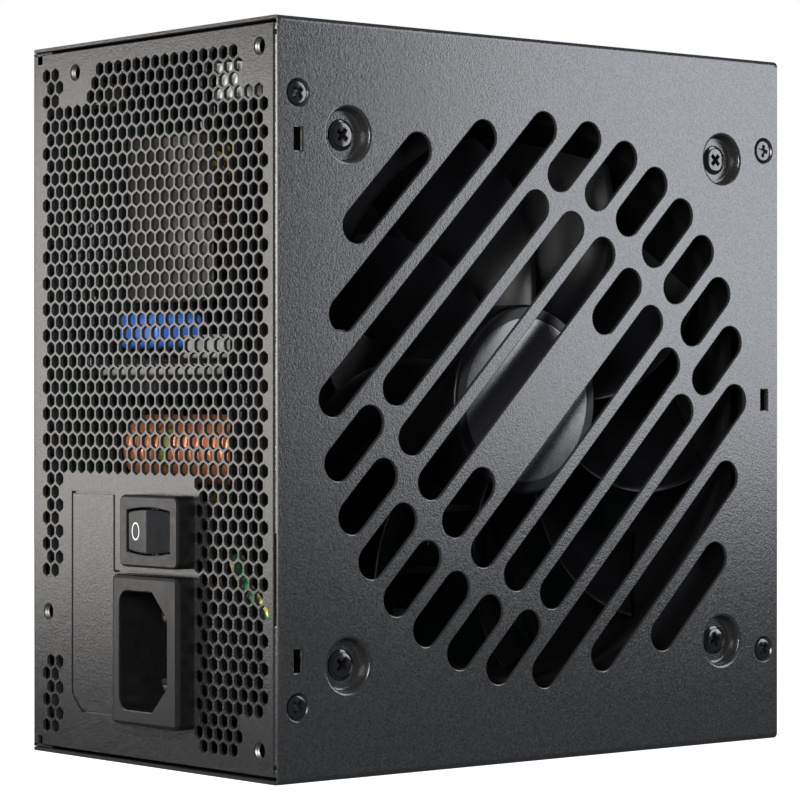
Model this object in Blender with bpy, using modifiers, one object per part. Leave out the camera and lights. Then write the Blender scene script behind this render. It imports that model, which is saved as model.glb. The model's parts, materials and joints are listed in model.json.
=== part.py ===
"""A computer power supply unit that stands on one of its folded sides, as separate pieces.

The frame: +Z is up and the origin is the centre of the face that it stands on. The fan side faces +X,
the rear panel with the mains inlet faces -Y, the panel with the output sockets faces +Y, and the plain
base plate, which carries the circuit board, faces -X.

Every size and place below is in millimetres. The helpers turn them into Blender's metres.
"""

import math

import bmesh
import bpy
from mathutils import Matrix, Vector

MM = 0.001
GAP = 0.3  # between two pieces that touch on the real object
WELD = 1e-6  # metres, the distance within which the corners of one solid are the same corner

# Case
WIDTH, DEPTH, HEIGHT = 86.0, 140.0, 150.0  # along X, Y and Z
FAN_SIDE, PLATE_SIDE = WIDTH / 2, -WIDTH / 2
REAR, FRONT = -DEPTH / 2, DEPTH / 2
SHEET = 0.8
BEND = 1.2  # outer radius of a fold
BEND_STEPS = 3
EAR_X = FAN_SIDE - SHEET - GAP  # outer face of the tray's folded ears
EAR_WIDTH = 9.5

# Fan side: rows of round-ended slots at 45 degrees inside a circle
PATTERN_CENTRE = (0.0, HEIGHT / 2)  # Y and Z
ROW_PITCH = 10.0
SLOT_RADIUS = 3.5
SLOT_CIRCLE = 56.4  # where the outer ends of the slots have their centres
SIDE_SLOT = 11.3  # between the end centres of a short slot beside a long one
LAST_ROW, LAST_ROW_REACH = 6, 11.2
SINGLE_ROWS = (4, 5)  # rows with one slot, counted from the middle
WEB = 3.6  # metal between two slots of one row
MIDDLE_ROW_SLOTS = ((24.5, 34.6), (45.1, 56.4))  # end centres, each side of the plain middle
SLOT_END_STEPS = 5
TAB_SLOTS = ((-65.1, 126.0), (-65.1, 24.0), (65.8, 75.0))
TAB_SLOT_SIZE = (2.1, 4.5)

# Screws
COVER_SCREWS = ((-65.2, 135.0), (-65.2, 15.0), (65.6, 130.0), (65.6, 20.0))  # Y and Z
FLAT_HEAD = (2.9, 2.2, 0.65)  # radius outside, radius at the shank, thickness
SHANK_RADIUS, SHANK_LENGTH, POINT_LENGTH = 1.4, 6.0, 0.6
FAN_SCREW_SPACING = 105.0
PAN_HEAD_RADIUS, PAN_HEAD_HEIGHT = 2.9, 1.9
FAN_SHANK_RADIUS, FAN_SHANK_LENGTH = 1.8, 5.5
BOARD_HEAD_RADIUS, BOARD_HEAD_HEIGHT, BOARD_SHANK, BOARD_SHANK_LENGTH = 2.8, 1.6, 1.3, 4.5
DIMPLE_RADIUS, DIMPLE_RIM, DIMPLE_FLOOR_RADIUS, DIMPLE_DEPTH = 5.2, 0.8, 4.7, 3.2
ROUND_STEPS = 12  # sides of a screw, a hole or a boss

# Rear panel
PANEL_LOW, PANEL_HIGH = SHEET + GAP, HEIGHT - SHEET - GAP
CELL_PITCH = 10.071  # of the coarse honeycomb, three times that of the fine one
CELL_ROW = 8.295
CELL_RADIUS = 4.75  # corner radius of a cell
CELL_ROWS, CELL_COLUMNS, FIRST_CELL = 17, 8, (-35.0, 140.6)
CELLS_END_X, CELLS_END_Z = 36.3, 6.5
PLAIN_PLATE = (-31.0, 23.0, 60.5)  # lowest X, highest X and highest Z of the plate round the inlet
CASE_HOLES = ((-27.0, 144.0), (37.0, 144.0), (-37.0, 30.0), (37.0, 6.0))  # X and Z
CASE_HOLE_RADIUS, CASE_BOSS_RADIUS, CASE_BOSS_DEPTH = 1.5, 2.7, 1.6
EAR_BOSS_RADIUS, EAR_BOSS_DEPTH = 2.6, 2.6
STAND = 4.3  # how far the inlet and the switch stand out of the panel

# Mains inlet
INLET_X, INLET_Z = 4.05, 24.05
INLET_FLANGE = (22.9, 30.7)
INLET_BODY = (18.6, 26.0, 18.0)  # along X, Z and into the case
SOCKET_X, SOCKET_Z = 3.65, 23.95
SOCKET_SIZE = (16.3, 24.1)
SOCKET_CHAMFER = 5.1
SOCKET_DEPTH = 16.0
BLADE = (4.0, 2.0)
BLADE_SPACING, EARTH_OFFSET = 14.0, 4.0
BLADE_RECESS, BLADE_TAIL = 1.8, 5.0
FLANGE_CORNER, BEZEL_CORNER, BLADE_CORNER = 1.2, 1.5, 0.4

# Rocker switch
SWITCH_X, SWITCH_Z = 5.5, 48.35
BEZEL = (20.2, 14.7)
SWITCH_BODY = (15.8, 12.7, 15.0)
ROCKER_PIVOT_DEPTH = 2.4  # behind the bezel's face
ROCKER_HALF, ROCKER_RIDGE = 7.5, 3.4  # half length, and height of the ridge over the pivot
ROCKER_SLOPE = math.radians(13)
ROCKER_TILT = math.radians(7)  # at rest, either side of level
ROCKER_HALF_WIDTH, ROCKER_BULGE = 4.4, 0.9
ROCKER_CLEARANCE = 0.35
TRUNNION_RADIUS, TRUNNION_REACH = 1.2, 0.9
WELL_MARGIN, WELL_DEPTH = 0.5, 1.9  # past the rocker's ends, and behind its pivot
TERMINAL = (4.8, 0.8, 6.0, 3.0)  # along X, Z, out of the switch's back and into it
TERMINAL_OFFSET = 4.2

# Fan
FAN_SIZE, FAN_THICKNESS = 120.0, 25.0
FAN_Z = HEIGHT / 2
FAN_FRONT = FAN_SIDE - DIMPLE_DEPTH - SHEET - GAP
FAN_BACK = FAN_FRONT - FAN_THICKNESS
FAN_FLANGE = 4.0
FAN_BORE, FAN_WALL = 57.8, 1.6
ARM_WIDTH, ARM_DEPTH = 5.0, 3.5
FAN_HOLE_RADIUS = 2.2
HUB_RADIUS, HUB_WALL = 20.0, 1.3
HUB_BACK, HUB_FRONT = FAN_BACK + 4.9, FAN_FRONT - 1.2
BLADES, BLADE_TIP, BLADE_THICKNESS = 9, 56.2, 1.4
BLADE_TURN, BLADE_SWEEP = math.radians(27), math.radians(24)
SHAFT_RADIUS, BEARING_RADIUS, TUBE_RADIUS = 1.5, 3.2, 5.0
TUBE_LENGTH, SLEEVE_LENGTH, SEAT_THICKNESS = 17.0, 15.5, 2.3
MAGNET_THICKNESS, MAGNET_LENGTH = 1.5, 11.0
STATOR = (6.5, 14.5)  # from the fan's back
STATOR_CORE_RADIUS, STATOR_NECK, STATOR_SHOE = 7.5, 2.2, math.radians(36)
RUNNING = 0.15  # clearance of a turning piece

# Circuit board
BOARD_TOP, BOARD_THICKNESS = -36.0, 1.6
FILM = 0.4
BOARD_Y, BOARD_Z = (-66.0, 52.0), (4.0, 146.0)
BOARD_SCREWS = ((-60.0, 10.0), (-60.0, 140.0), (46.0, 10.0), (46.0, 140.0))
STANDOFF_RADIUS = 3.0
ON_BOARD = BOARD_TOP + GAP

# Output sockets
SOCKET_BOARD_Y = 54.0
HEADER_BACK = SOCKET_BOARD_Y + BOARD_THICKNESS + GAP
HEADER_PITCH, HEADER_WALL = 4.2, 1.1
HEADER_CELL_SHARE = 0.81  # of the pitch
HEADER_CELL_DEPTH = 9.5
HEADER_GAP = 0.4  # round a socket, in the front panel
LATCH = (4.0, 2.0, 5.0)  # along Z, X and Y
SOCKET_BOARD = ((-35.0, 8.0), (12.5, 142.0))  # lowest and highest X and Z
HEADER_ROWS = (-24.0, -5.0)  # X of the two rows of sockets
HEADERS = (  # name, row, first Z, columns, pitch
    ("board_socket_18", 0, 14.0, 9, HEADER_PITCH),
    ("board_socket_10", 0, 58.0, 5, HEADER_PITCH),
    ("drive_socket_1", 0, 86.5, 3, HEADER_PITCH),
    ("drive_socket_2", 0, 105.0, 3, HEADER_PITCH),
    ("drive_socket_3", 0, 123.5, 3, HEADER_PITCH),
    ("graphics_socket", 1, 14.0, 6, 3.0),
    ("power_socket_1", 1, 39.5, 4, HEADER_PITCH),
    ("power_socket_2", 1, 66.0, 4, HEADER_PITCH),
    ("power_socket_3", 1, 92.5, 4, HEADER_PITCH),
    ("power_socket_4", 1, 119.0, 4, HEADER_PITCH),
)

MATERIALS = {  # colour, roughness, metallic
    "powder_coat": ((0.045, 0.044, 0.044), 0.55, 0.0),
    "black_plastic": ((0.03, 0.03, 0.032), 0.5, 0.0),
    "fan_plastic": ((0.012, 0.012, 0.013), 0.25, 0.0),
    "screw_steel": ((0.05, 0.05, 0.055), 0.35, 0.8),
    "bright_steel": ((0.6, 0.6, 0.58), 0.3, 1.0),
    "brass": ((0.75, 0.6, 0.3), 0.3, 1.0),
    "copper": ((0.8, 0.35, 0.15), 0.35, 0.8),
    "magnet": ((0.1, 0.1, 0.1), 0.6, 0.2),
    "circuit_board": ((0.02, 0.09, 0.05), 0.5, 0.0),
    "insulator": ((0.85, 0.85, 0.8), 0.4, 0.0),
    "heatsink": ((0.5, 0.5, 0.52), 0.4, 1.0),
    "blue_film": ((0.03, 0.15, 0.6), 0.4, 0.0),
    "pale_film": ((0.8, 0.78, 0.7), 0.45, 0.0),
    "sleeve": ((0.05, 0.05, 0.05), 0.3, 0.0),
    "earth_wire": ((0.35, 0.6, 0.05), 0.45, 0.0),
    "brown_wire": ((0.2, 0.08, 0.03), 0.45, 0.0),
    "blue_wire": ((0.03, 0.1, 0.5), 0.45, 0.0),
}

AIMS = {  # turns an object's own +Z to a direction of the case
    "+X": (0, math.pi / 2, 0),
    "+Y": (-math.pi / 2, 0, 0),
    "+Z": (0, 0, 0),
}
PLANES = {  # columns: where an outline's two directions and its thickness go
    "X": Matrix(((0, 0, 1), (1, 0, 0), (0, 1, 0))),
    "Y": Matrix(((1, 0, 0), (0, 0, 1), (0, 1, 0))),
    "Z": Matrix(((1, 0, 0), (0, 1, 0), (0, 0, 1))),
}


# ---------------------------------------------------------------- helpers


def clear_scene():
    for obj in list(bpy.data.objects):
        bpy.data.objects.remove(obj, do_unlink=True)


def collection(name):
    made = bpy.data.collections.new(name)
    bpy.context.scene.collection.children.link(made)
    return made


def material(name):
    """The named material, made the first time that it is asked for."""
    if name in bpy.data.materials:
        return bpy.data.materials[name]
    colour, roughness, metallic = MATERIALS[name]
    made = bpy.data.materials.new(name)
    made.use_nodes = True
    shader = made.node_tree.nodes["Principled BSDF"]
    shader.inputs["Base Color"].default_value = (*colour, 1)
    shader.inputs["Roughness"].default_value = roughness
    shader.inputs["Metallic"].default_value = metallic
    return made


def place(name, mesh, finish, at=(0, 0, 0), aim="+Z"):
    """A new object. One with no finish is a helper, for a Boolean only."""
    obj = bpy.data.objects.new(name, mesh)
    obj.location = Vector(at) * MM
    obj.rotation_euler = AIMS[aim]
    if finish:
        if not mesh.materials:
            mesh.materials.append(material(finish))
        UNIT.objects.link(obj)
    else:
        obj.hide_render = True
        obj.display_type = "WIRE"
        CUTTERS.objects.link(obj)
    return obj


def mesh_of(name, bm, smooth=False):
    """A Blender mesh in metres from a bmesh in millimetres, with its faces pointing out."""
    bmesh.ops.scale(bm, vec=(MM, MM, MM), verts=bm.verts)
    bmesh.ops.remove_doubles(bm, verts=bm.verts, dist=WELD)
    bmesh.ops.recalc_face_normals(bm, faces=bm.faces)
    mesh = bpy.data.meshes.new(name)
    bm.to_mesh(mesh)
    bm.free()
    if smooth:
        mesh.shade_smooth()
        mesh.set_sharp_from_angle(angle=math.radians(35))
    return mesh


def box(name, low, high, finish=None):
    bm = bmesh.new()
    bmesh.ops.create_cube(bm, size=1)
    bmesh.ops.scale(bm, vec=[h - l for l, h in zip(low, high)], verts=bm.verts)
    centre = [(l + h) / 2 for l, h in zip(low, high)]
    return place(name, mesh_of(name, bm), finish, centre)


def boxes(name, corners, finish=None):
    """Several boxes that don't touch, as one helper."""
    bm = bmesh.new()
    for low, high in corners:
        made = bmesh.ops.create_cube(bm, size=1)["verts"]
        bmesh.ops.scale(bm, vec=[h - l for l, h in zip(low, high)], verts=made)
        bmesh.ops.translate(bm, vec=[(l + h) / 2 for l, h in zip(low, high)], verts=made)
    return place(name, mesh_of(name, bm), finish)


def prism(name, outlines, plane, low, high, finish=None, at=(0, 0, 0)):
    """Flat outlines, given across the named axis, made solid from low to high along it."""
    curve = bpy.data.curves.new(name, "CURVE")
    curve.dimensions = "2D"
    curve.fill_mode = "BOTH"
    curve.extrude = (high - low) / 2 * MM
    for outline in outlines:
        spline = curve.splines.new("POLY")
        spline.points.add(len(outline) - 1)
        spline.use_cyclic_u = True
        for point, (u, v) in zip(spline.points, outline):
            point.co = (u * MM, v * MM, 0, 1)
    mesh = curve_mesh(name, curve)
    bm = bmesh.new()
    bm.from_mesh(mesh)
    bpy.data.meshes.remove(mesh)
    bmesh.ops.scale(bm, vec=(1 / MM,) * 3, verts=bm.verts)
    bmesh.ops.translate(bm, vec=(0, 0, (low + high) / 2), verts=bm.verts)
    bmesh.ops.transform(bm, matrix=PLANES[plane].to_4x4(), verts=bm.verts)
    bmesh.ops.translate(bm, vec=-Vector(at), verts=bm.verts)
    return place(name, mesh_of(name, bm), finish, at)


def curve_mesh(name, curve):
    """The mesh that a curve evaluates to. The curve itself is removed."""
    obj = bpy.data.objects.new(name, curve)
    bpy.context.scene.collection.objects.link(obj)
    graph = bpy.context.evaluated_depsgraph_get()
    mesh = bpy.data.meshes.new_from_object(obj.evaluated_get(graph))
    bpy.data.objects.remove(obj)
    bpy.data.curves.remove(curve)
    return mesh


def profile_mesh(name, profile):
    """A row of edges for a Screw modifier, from (radius, height) points, top to bottom."""
    mesh = bpy.data.meshes.new(name)
    edges = [(i, i + 1) for i in range(len(profile) - 1)]
    mesh.from_pydata([(r * MM, 0, h * MM) for r, h in profile], edges, [])
    return mesh


def turned(name, profile, at, aim, finish=None, steps=ROUND_STEPS):
    """A turned solid, from a profile's points or from the mesh of another turned piece."""
    mesh = profile if isinstance(profile, bpy.types.Mesh) else profile_mesh(name, profile)
    obj = place(name, mesh, finish, at, aim)
    screw = obj.modifiers.new("turn", "SCREW")
    screw.steps = screw.render_steps = steps
    screw.use_merge_vertices = True
    screw.merge_threshold = WELD
    screw.use_smooth_shade = False
    return obj


def tube_profile(outer, inner, top, bottom):
    """A closed ring section, starting and ending at its outer top corner."""
    return [(outer, top), (outer, bottom), (inner, bottom), (inner, top), (outer, top)]


def rod_profile(radius, top, bottom):
    return [(0, top), (radius, top), (radius, bottom), (0, bottom)]


def cylinders(name, radius, centres, plane, low, high, steps=ROUND_STEPS):
    """Round helpers that don't touch, one at each centre across the named axis."""
    outlines = [circle(centre, radius, steps) for centre in centres]
    return prism(name, outlines, plane, low, high)


def combine(obj, operation, helper):
    modifier = obj.modifiers.new(helper.name, "BOOLEAN")
    modifier.operation = operation
    modifier.object = helper


def cut(obj, *helpers):
    for helper in helpers:
        combine(obj, "DIFFERENCE", helper)


def join(obj, *helpers):
    for helper in helpers:
        combine(obj, "UNION", helper)


def wire(name, route, diameter, finish):
    """A wire along a smooth curve through the route's points, with a section every 2.5 diameters."""
    curve = bpy.data.curves.new(name, "CURVE")
    curve.dimensions = "3D"
    curve.bevel_depth = diameter / 2 * MM
    curve.bevel_resolution = 1
    curve.use_fill_caps = True
    points = smooth_route(route, 2.5 * diameter)
    spline = curve.splines.new("POLY")
    spline.points.add(len(points) - 1)
    for point, place_mm in zip(spline.points, points):
        point.co = (*(place_mm * MM), 1)
    bm = bmesh.new()
    mesh = curve_mesh(name, curve)
    bm.from_mesh(mesh)
    bpy.data.meshes.remove(mesh)
    bmesh.ops.scale(bm, vec=(1 / MM,) * 3, verts=bm.verts)
    return place(name, mesh_of(name, bm, smooth=True), finish)


def smooth_route(route, spacing):
    """Points of a Catmull-Rom curve through the route, about one spacing apart."""
    knots = [Vector(p) for p in route]
    knots = [2 * knots[0] - knots[1], *knots, 2 * knots[-1] - knots[-2]]
    points = [knots[1]]
    for a, b, c, d in zip(knots, knots[1:], knots[2:], knots[3:]):
        steps = max(1, round((c - b).length / spacing))
        for step in range(1, steps + 1):
            t = step / steps
            bend = (2 * a - 5 * b + 4 * c - d) * t * t + (3 * b - a - 3 * c + d) * t * t * t
            points.append((2 * b + (c - a) * t + bend) / 2)
    return points


# ---------------------------------------------------------------- outlines


def circle(centre, radius, steps):
    return arc(centre, radius, 0, 2 * math.pi, steps)[:-1]


def arc(centre, radius, start, end, steps):
    angles = [start + (end - start) * i / steps for i in range(steps + 1)]
    return [(centre[0] + radius * math.cos(a), centre[1] + radius * math.sin(a)) for a in angles]


def rectangle(centre, size):
    (u, v), (w, h) = centre, size
    return [(u - w / 2, v - h / 2), (u + w / 2, v - h / 2), (u + w / 2, v + h / 2), (u - w / 2, v + h / 2)]


def rounded(centre, size, radius, steps=3):
    """A rectangle with round corners."""
    (u, v), (w, h) = centre, size
    points = []
    for corner, (side_u, side_v) in enumerate(((1, 1), (-1, 1), (-1, -1), (1, -1))):
        middle = (u + side_u * (w / 2 - radius), v + side_v * (h / 2 - radius))
        points += arc(middle, radius, corner * math.pi / 2, (corner + 1) * math.pi / 2, steps)
    return points


def bent_strip(corners):
    """The outline of folded sheet whose outer face passes through the corners, clockwise."""
    outer, inner = [], []
    points = [Vector(c) for c in corners]
    runs = [(b - a).normalized() for a, b in zip(points, points[1:])]

    def inward(run):
        return Vector((run.y, -run.x)) * SHEET

    outer.append(points[0])
    inner.append(points[0] + inward(runs[0]))
    for before, after, corner in zip(runs, runs[1:], points[1:]):
        centre = corner + (after - before) * BEND
        for step in range(BEND_STEPS + 1):
            turn = step / BEND_STEPS * math.pi / 2
            out = -after * math.cos(turn) + before * math.sin(turn)
            outer.append(centre + out * BEND)
            inner.append(centre + out * (BEND - SHEET))
    outer.append(points[-1])
    inner.append(points[-1] + inward(runs[-1]))
    return [tuple(p) for p in outer + inner[::-1]]


def slot(row, start, end):
    """A round-ended slot of the pattern, between two end centres measured along its row."""
    along, across = Vector((1, 1)) / math.sqrt(2), Vector((-1, 1)) / math.sqrt(2)
    middle = Vector(PATTERN_CENTRE) + across * row * ROW_PITCH
    quarter = math.pi / 4
    outline = []
    for centre, turn in ((end, -quarter), (start, 3 * quarter)):
        outline += arc(middle + along * centre, SLOT_RADIUS, turn, turn + math.pi, SLOT_END_STEPS)
    return outline


def slot_spans(row):
    """The spans of the slots in a row of the pattern, between their end centres."""
    if row == 0:
        return [(side * a, side * b) for a, b in MIDDLE_ROW_SLOTS for side in (1, -1)]
    if abs(row) == LAST_ROW:
        return [(-LAST_ROW_REACH, LAST_ROW_REACH)]
    reach = math.sqrt(SLOT_CIRCLE**2 - (row * ROW_PITCH) ** 2)
    if abs(row) in SINGLE_ROWS:
        return [(-reach, reach)]
    inner = reach - SIDE_SLOT - 2 * SLOT_RADIUS - WEB
    return [(-inner, inner), (reach - SIDE_SLOT, reach), (-reach, SIDE_SLOT - reach)]


def slots():
    outlines = []
    for row in range(-LAST_ROW, LAST_ROW + 1):
        outlines += [slot(row, min(span), max(span)) for span in slot_spans(row)]
    return outlines


def honeycomb():
    """The coarse honeycomb: all of the upper panel, and both sides of the plate with the inlet."""
    outlines = []
    for row in range(CELL_ROWS):
        z = FIRST_CELL[1] - CELL_ROW * row
        for column in range(CELL_COLUMNS):
            x = FIRST_CELL[0] + CELL_PITCH * (column + 0.5 * (row % 2))
            if cell_fits(x, z):
                turn = math.pi / 6
                outlines.append(arc((x, z), CELL_RADIUS, turn, turn + 2 * math.pi, 6)[:-1])
    return outlines


def cell_fits(x, z):
    """Whether the panel has a cell here: clear of the edges, the plate and the screw bosses."""
    clear = CELL_RADIUS + CASE_BOSS_RADIUS + GAP
    low_x, high_x, high_z = PLAIN_PLATE
    on_plate = z < high_z and low_x < x < high_x
    near_boss = any(math.hypot(x - hole_x, z - hole_z) < clear for hole_x, hole_z in CASE_HOLES)
    return x < CELLS_END_X and z > CELLS_END_Z and not on_plate and not near_boss


def header_outline(row, start, columns, pitch):
    """The outline of an output socket, with the latch block on its fan side, as X and Z."""
    half = pitch + HEADER_WALL - (1 - HEADER_CELL_SHARE) * pitch / 2
    length = columns * pitch + 2 * HEADER_WALL - (1 - HEADER_CELL_SHARE) * pitch
    x, middle = HEADER_ROWS[row], start + length / 2
    latch_z, latch_x = LATCH[0] / 2, LATCH[1]
    return [
        (x - half, start),
        (x + half, start),
        (x + half, middle - latch_z),
        (x + half + latch_x, middle - latch_z),
        (x + half + latch_x, middle + latch_z),
        (x + half, middle + latch_z),
        (x + half, start + length),
        (x - half, start + length),
    ]


def widened(outline, by):
    """A right-angled outline moved out by a distance, corner by corner."""
    points = [Vector(p) for p in outline]
    result = []
    for before, corner, after in zip(points[-1:] + points[:-1], points, points[1:] + points[:1]):
        runs = ((corner - before).normalized(), (after - corner).normalized())
        result.append(tuple(corner + sum((Vector((run.y, -run.x)) for run in runs), Vector((0, 0))) * by))
    return result


# ---------------------------------------------------------------- case


def base_tray():
    corners = [
        (EAR_X, REAR + EAR_WIDTH),
        (EAR_X, REAR),
        (PLATE_SIDE, REAR),
        (PLATE_SIDE, FRONT),
        (EAR_X, FRONT),
        (EAR_X, FRONT - EAR_WIDTH),
    ]
    tray = prism("base_tray", [bent_strip(corners)], "Z", PANEL_LOW, PANEL_HIGH, "powder_coat")
    inside = REAR + SHEET
    join(
        tray,
        cylinders("case_bosses", CASE_BOSS_RADIUS, CASE_HOLES, "Y", inside - SHEET / 2,
                  inside + CASE_BOSS_DEPTH),
        cylinders("ear_bosses", EAR_BOSS_RADIUS, COVER_SCREWS, "X", EAR_X - SHEET - EAR_BOSS_DEPTH,
                  EAR_X - SHEET / 2),
        cylinders("standoffs", STANDOFF_RADIUS, BOARD_SCREWS, "X", PLATE_SIDE + SHEET / 2,
                  BOARD_TOP - BOARD_THICKNESS - GAP),
    )
    inlet_opening = rectangle((INLET_X, INLET_Z), [side + 2 * GAP for side in INLET_BODY[:2]])
    switch_opening = rectangle((SWITCH_X, SWITCH_Z), [side + 2 * GAP for side in SWITCH_BODY[:2]])
    rear_openings = [*honeycomb(), inlet_opening, switch_opening]
    front_openings = [widened(header_outline(*header[1:]), HEADER_GAP) for header in HEADERS]
    cut(
        tray,
        cylinders("ear_holes", SHANK_RADIUS + GAP, COVER_SCREWS, "X", EAR_X - 2 * EAR_BOSS_DEPTH, EAR_X + 1),
        cylinders("standoff_holes", BOARD_SHANK + GAP, BOARD_SCREWS, "X", PLATE_SIDE + 2 * SHEET, BOARD_TOP),
        cylinders("case_holes", CASE_HOLE_RADIUS, CASE_HOLES, "Y", REAR - 1, inside + CASE_BOSS_DEPTH + 1),
        prism("front_openings", front_openings, "Y", FRONT - 1.5 * SHEET, FRONT + 1),
        prism("rear_openings", rear_openings, "Y", REAR - 1, REAR + 1.5 * SHEET),
    )


def cover():
    corners = [(PLATE_SIDE, HEIGHT), (FAN_SIDE, HEIGHT), (FAN_SIDE, 0), (PLATE_SIDE, 0)]
    shell = prism("cover", [bent_strip(corners)], "Y", REAR, FRONT, "powder_coat")
    tabs = [rectangle(centre, TAB_SLOT_SIZE) for centre in TAB_SLOTS]
    floor = FAN_SIDE - DIMPLE_DEPTH
    wall = SHEET * 0.8
    boss = [
        (0, FAN_SIDE - SHEET / 2),
        (DIMPLE_RADIUS + wall + 0.3, FAN_SIDE - SHEET / 2),
        (DIMPLE_FLOOR_RADIUS + wall, floor - SHEET),
        (0, floor - SHEET),
    ]
    hollow = [
        (0, FAN_SIDE + 1),
        (DIMPLE_RADIUS + DIMPLE_RIM, FAN_SIDE + 1),
        (DIMPLE_RADIUS + DIMPLE_RIM * 0.7, FAN_SIDE - DIMPLE_RIM * 0.1),
        (DIMPLE_RADIUS + DIMPLE_RIM * 0.2, FAN_SIDE - DIMPLE_RIM * 0.5),
        (DIMPLE_RADIUS, FAN_SIDE - DIMPLE_RIM * 1.2),
        (DIMPLE_FLOOR_RADIUS, floor),
        (0, floor),
    ]
    radius, inner_radius, _ = FLAT_HEAD
    flare = (radius - inner_radius) / SHEET
    sink = [
        (0, FAN_SIDE + 1),
        (radius + GAP + flare, FAN_SIDE + 1),
        (inner_radius + GAP - flare, FAN_SIDE - SHEET - 1),
        (0, FAN_SIDE - SHEET - 1),
    ]
    for index, (y, z) in enumerate(fan_screw_places(), 1):
        join(shell, turned(f"dimple_boss_{index}", boss, (0, y, z), "+X"))
    for index, (y, z) in enumerate(fan_screw_places(), 1):
        cut(shell, turned(f"dimple_{index}", hollow, (0, y, z), "+X"))
    for index, (y, z) in enumerate(COVER_SCREWS, 1):
        cut(shell, turned(f"sink_{index}", sink, (0, y, z), "+X"))
    cut(
        shell,
        prism("fan_slots", [*slots(), *tabs], "X", FAN_SIDE - SHEET - 1, FAN_SIDE + 1),
        cylinders("fan_screw_holes", FAN_HOLE_RADIUS, fan_screw_places(), "X", floor - SHEET - 1, floor + 1),
    )


def fan_screw_places():
    half = FAN_SCREW_SPACING / 2
    return [(y, FAN_Z + z) for y in (-half, half) for z in (-half, half)]


def screws():
    radius, inner_radius, thickness = FLAT_HEAD
    flat = [
        (0, 0),
        (radius, 0),
        (inner_radius, -thickness),
        (SHANK_RADIUS, -thickness),
        (SHANK_RADIUS, -SHANK_LENGTH),
        (SHANK_RADIUS * 0.6, -SHANK_LENGTH - POINT_LENGTH),
        (0, -SHANK_LENGTH - POINT_LENGTH),
    ]
    flat_mesh = profile_mesh("flat_screw", flat)
    for index, (y, z) in enumerate(COVER_SCREWS, 1):
        turned(f"cover_screw_{index}", flat_mesh, (FAN_SIDE, y, z), "+X", "screw_steel")
    pan = pan_screw(PAN_HEAD_RADIUS, PAN_HEAD_HEIGHT, FAN_SHANK_RADIUS, FAN_SHANK_LENGTH)
    pan_mesh = profile_mesh("pan_screw", pan)
    seat = FAN_SIDE - DIMPLE_DEPTH + GAP
    for index, (y, z) in enumerate(fan_screw_places(), 1):
        turned(f"fan_screw_{index}", pan_mesh, (seat, y, z), "+X", "screw_steel")
    small = pan_screw(BOARD_HEAD_RADIUS, BOARD_HEAD_HEIGHT, BOARD_SHANK, BOARD_SHANK_LENGTH)
    small_mesh = profile_mesh("board_screw", small)
    for index, (y, z) in enumerate(BOARD_SCREWS, 1):
        turned(f"board_screw_{index}", small_mesh, (ON_BOARD, y, z), "+X", "bright_steel", steps=10)


def pan_screw(radius, height, shank, length):
    """A domed screw whose head sits on height 0."""
    return [
        (0, height),
        (radius * 0.7, height * 0.9),
        (radius, height * 0.5),
        (radius, 0),
        (shank, 0),
        (shank, -length),
        (0, -length),
    ]


# ---------------------------------------------------------------- mains inlet and switch


def socket_outline():
    """The inlet's opening: square-cornered on the plate's side, chamfered on the fan's side."""
    low_x, high_x = SOCKET_X - SOCKET_SIZE[0] / 2, SOCKET_X + SOCKET_SIZE[0] / 2
    low_z, high_z = SOCKET_Z - SOCKET_SIZE[1] / 2, SOCKET_Z + SOCKET_SIZE[1] / 2
    return [
        (low_x, low_z),
        (high_x - SOCKET_CHAMFER, low_z),
        (high_x, low_z + SOCKET_CHAMFER),
        (high_x, high_z - SOCKET_CHAMFER),
        (high_x - SOCKET_CHAMFER, high_z),
        (low_x, high_z),
    ]


def inlet():
    face, back = REAR - STAND, REAR + INLET_BODY[2]
    flange = rounded((INLET_X, INLET_Z), INLET_FLANGE, FLANGE_CORNER, steps=2)
    housing = prism("inlet_housing", [flange], "Y", face, REAR - GAP, "black_plastic")
    body = rectangle((INLET_X, INLET_Z), INLET_BODY[:2])
    join(housing, prism("inlet_body", [body], "Y", REAR - 1, back))
    cut(housing, prism("inlet_socket", [socket_outline()], "Y", face - 1, face + SOCKET_DEPTH))
    line_x = SOCKET_X - EARTH_OFFSET / 2
    blades = {
        "inlet_blade_line": (line_x, SOCKET_Z + BLADE_SPACING / 2),
        "inlet_blade_neutral": (line_x, SOCKET_Z - BLADE_SPACING / 2),
        "inlet_blade_earth": (line_x + EARTH_OFFSET, SOCKET_Z),
    }
    for name, centre in blades.items():
        outline = rounded(centre, BLADE, BLADE_CORNER, steps=1)
        prism(name, [outline], "Y", face + BLADE_RECESS, back + BLADE_TAIL, "brass")
    slits = [rectangle(centre, [side + 2 * GAP for side in BLADE]) for centre in blades.values()]
    cut(housing, prism("blade_slits", slits, "Y", face + SOCKET_DEPTH - 1, back + 1))


def barrel(half_length, half_width, bulge, steps=8):
    """The outline of the rocker from the front: straight ends, and long sides that bow out."""
    sides = []
    for index in range(steps + 1):
        along = -1 + 2 * index / steps
        sides.append((half_length * along, half_width + bulge * (1 - along * along)))
    points = [(u, -v) for u, v in sides] + sides[::-1]
    return [(SWITCH_X + u, SWITCH_Z + v) for u, v in points]


def rocker_side():
    """The rocker from above at its middle position: X from the pivot, and height over the pivot."""
    end = ROCKER_RIDGE - ROCKER_HALF * math.tan(ROCKER_SLOPE)
    reach = math.hypot(ROCKER_HALF, end)
    right = [(ROCKER_HALF, end), (reach, 0), (5.2, -0.9)]
    return [(0, ROCKER_RIDGE), *right, *[(-u, v) for u, v in right[::-1]]]


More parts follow.
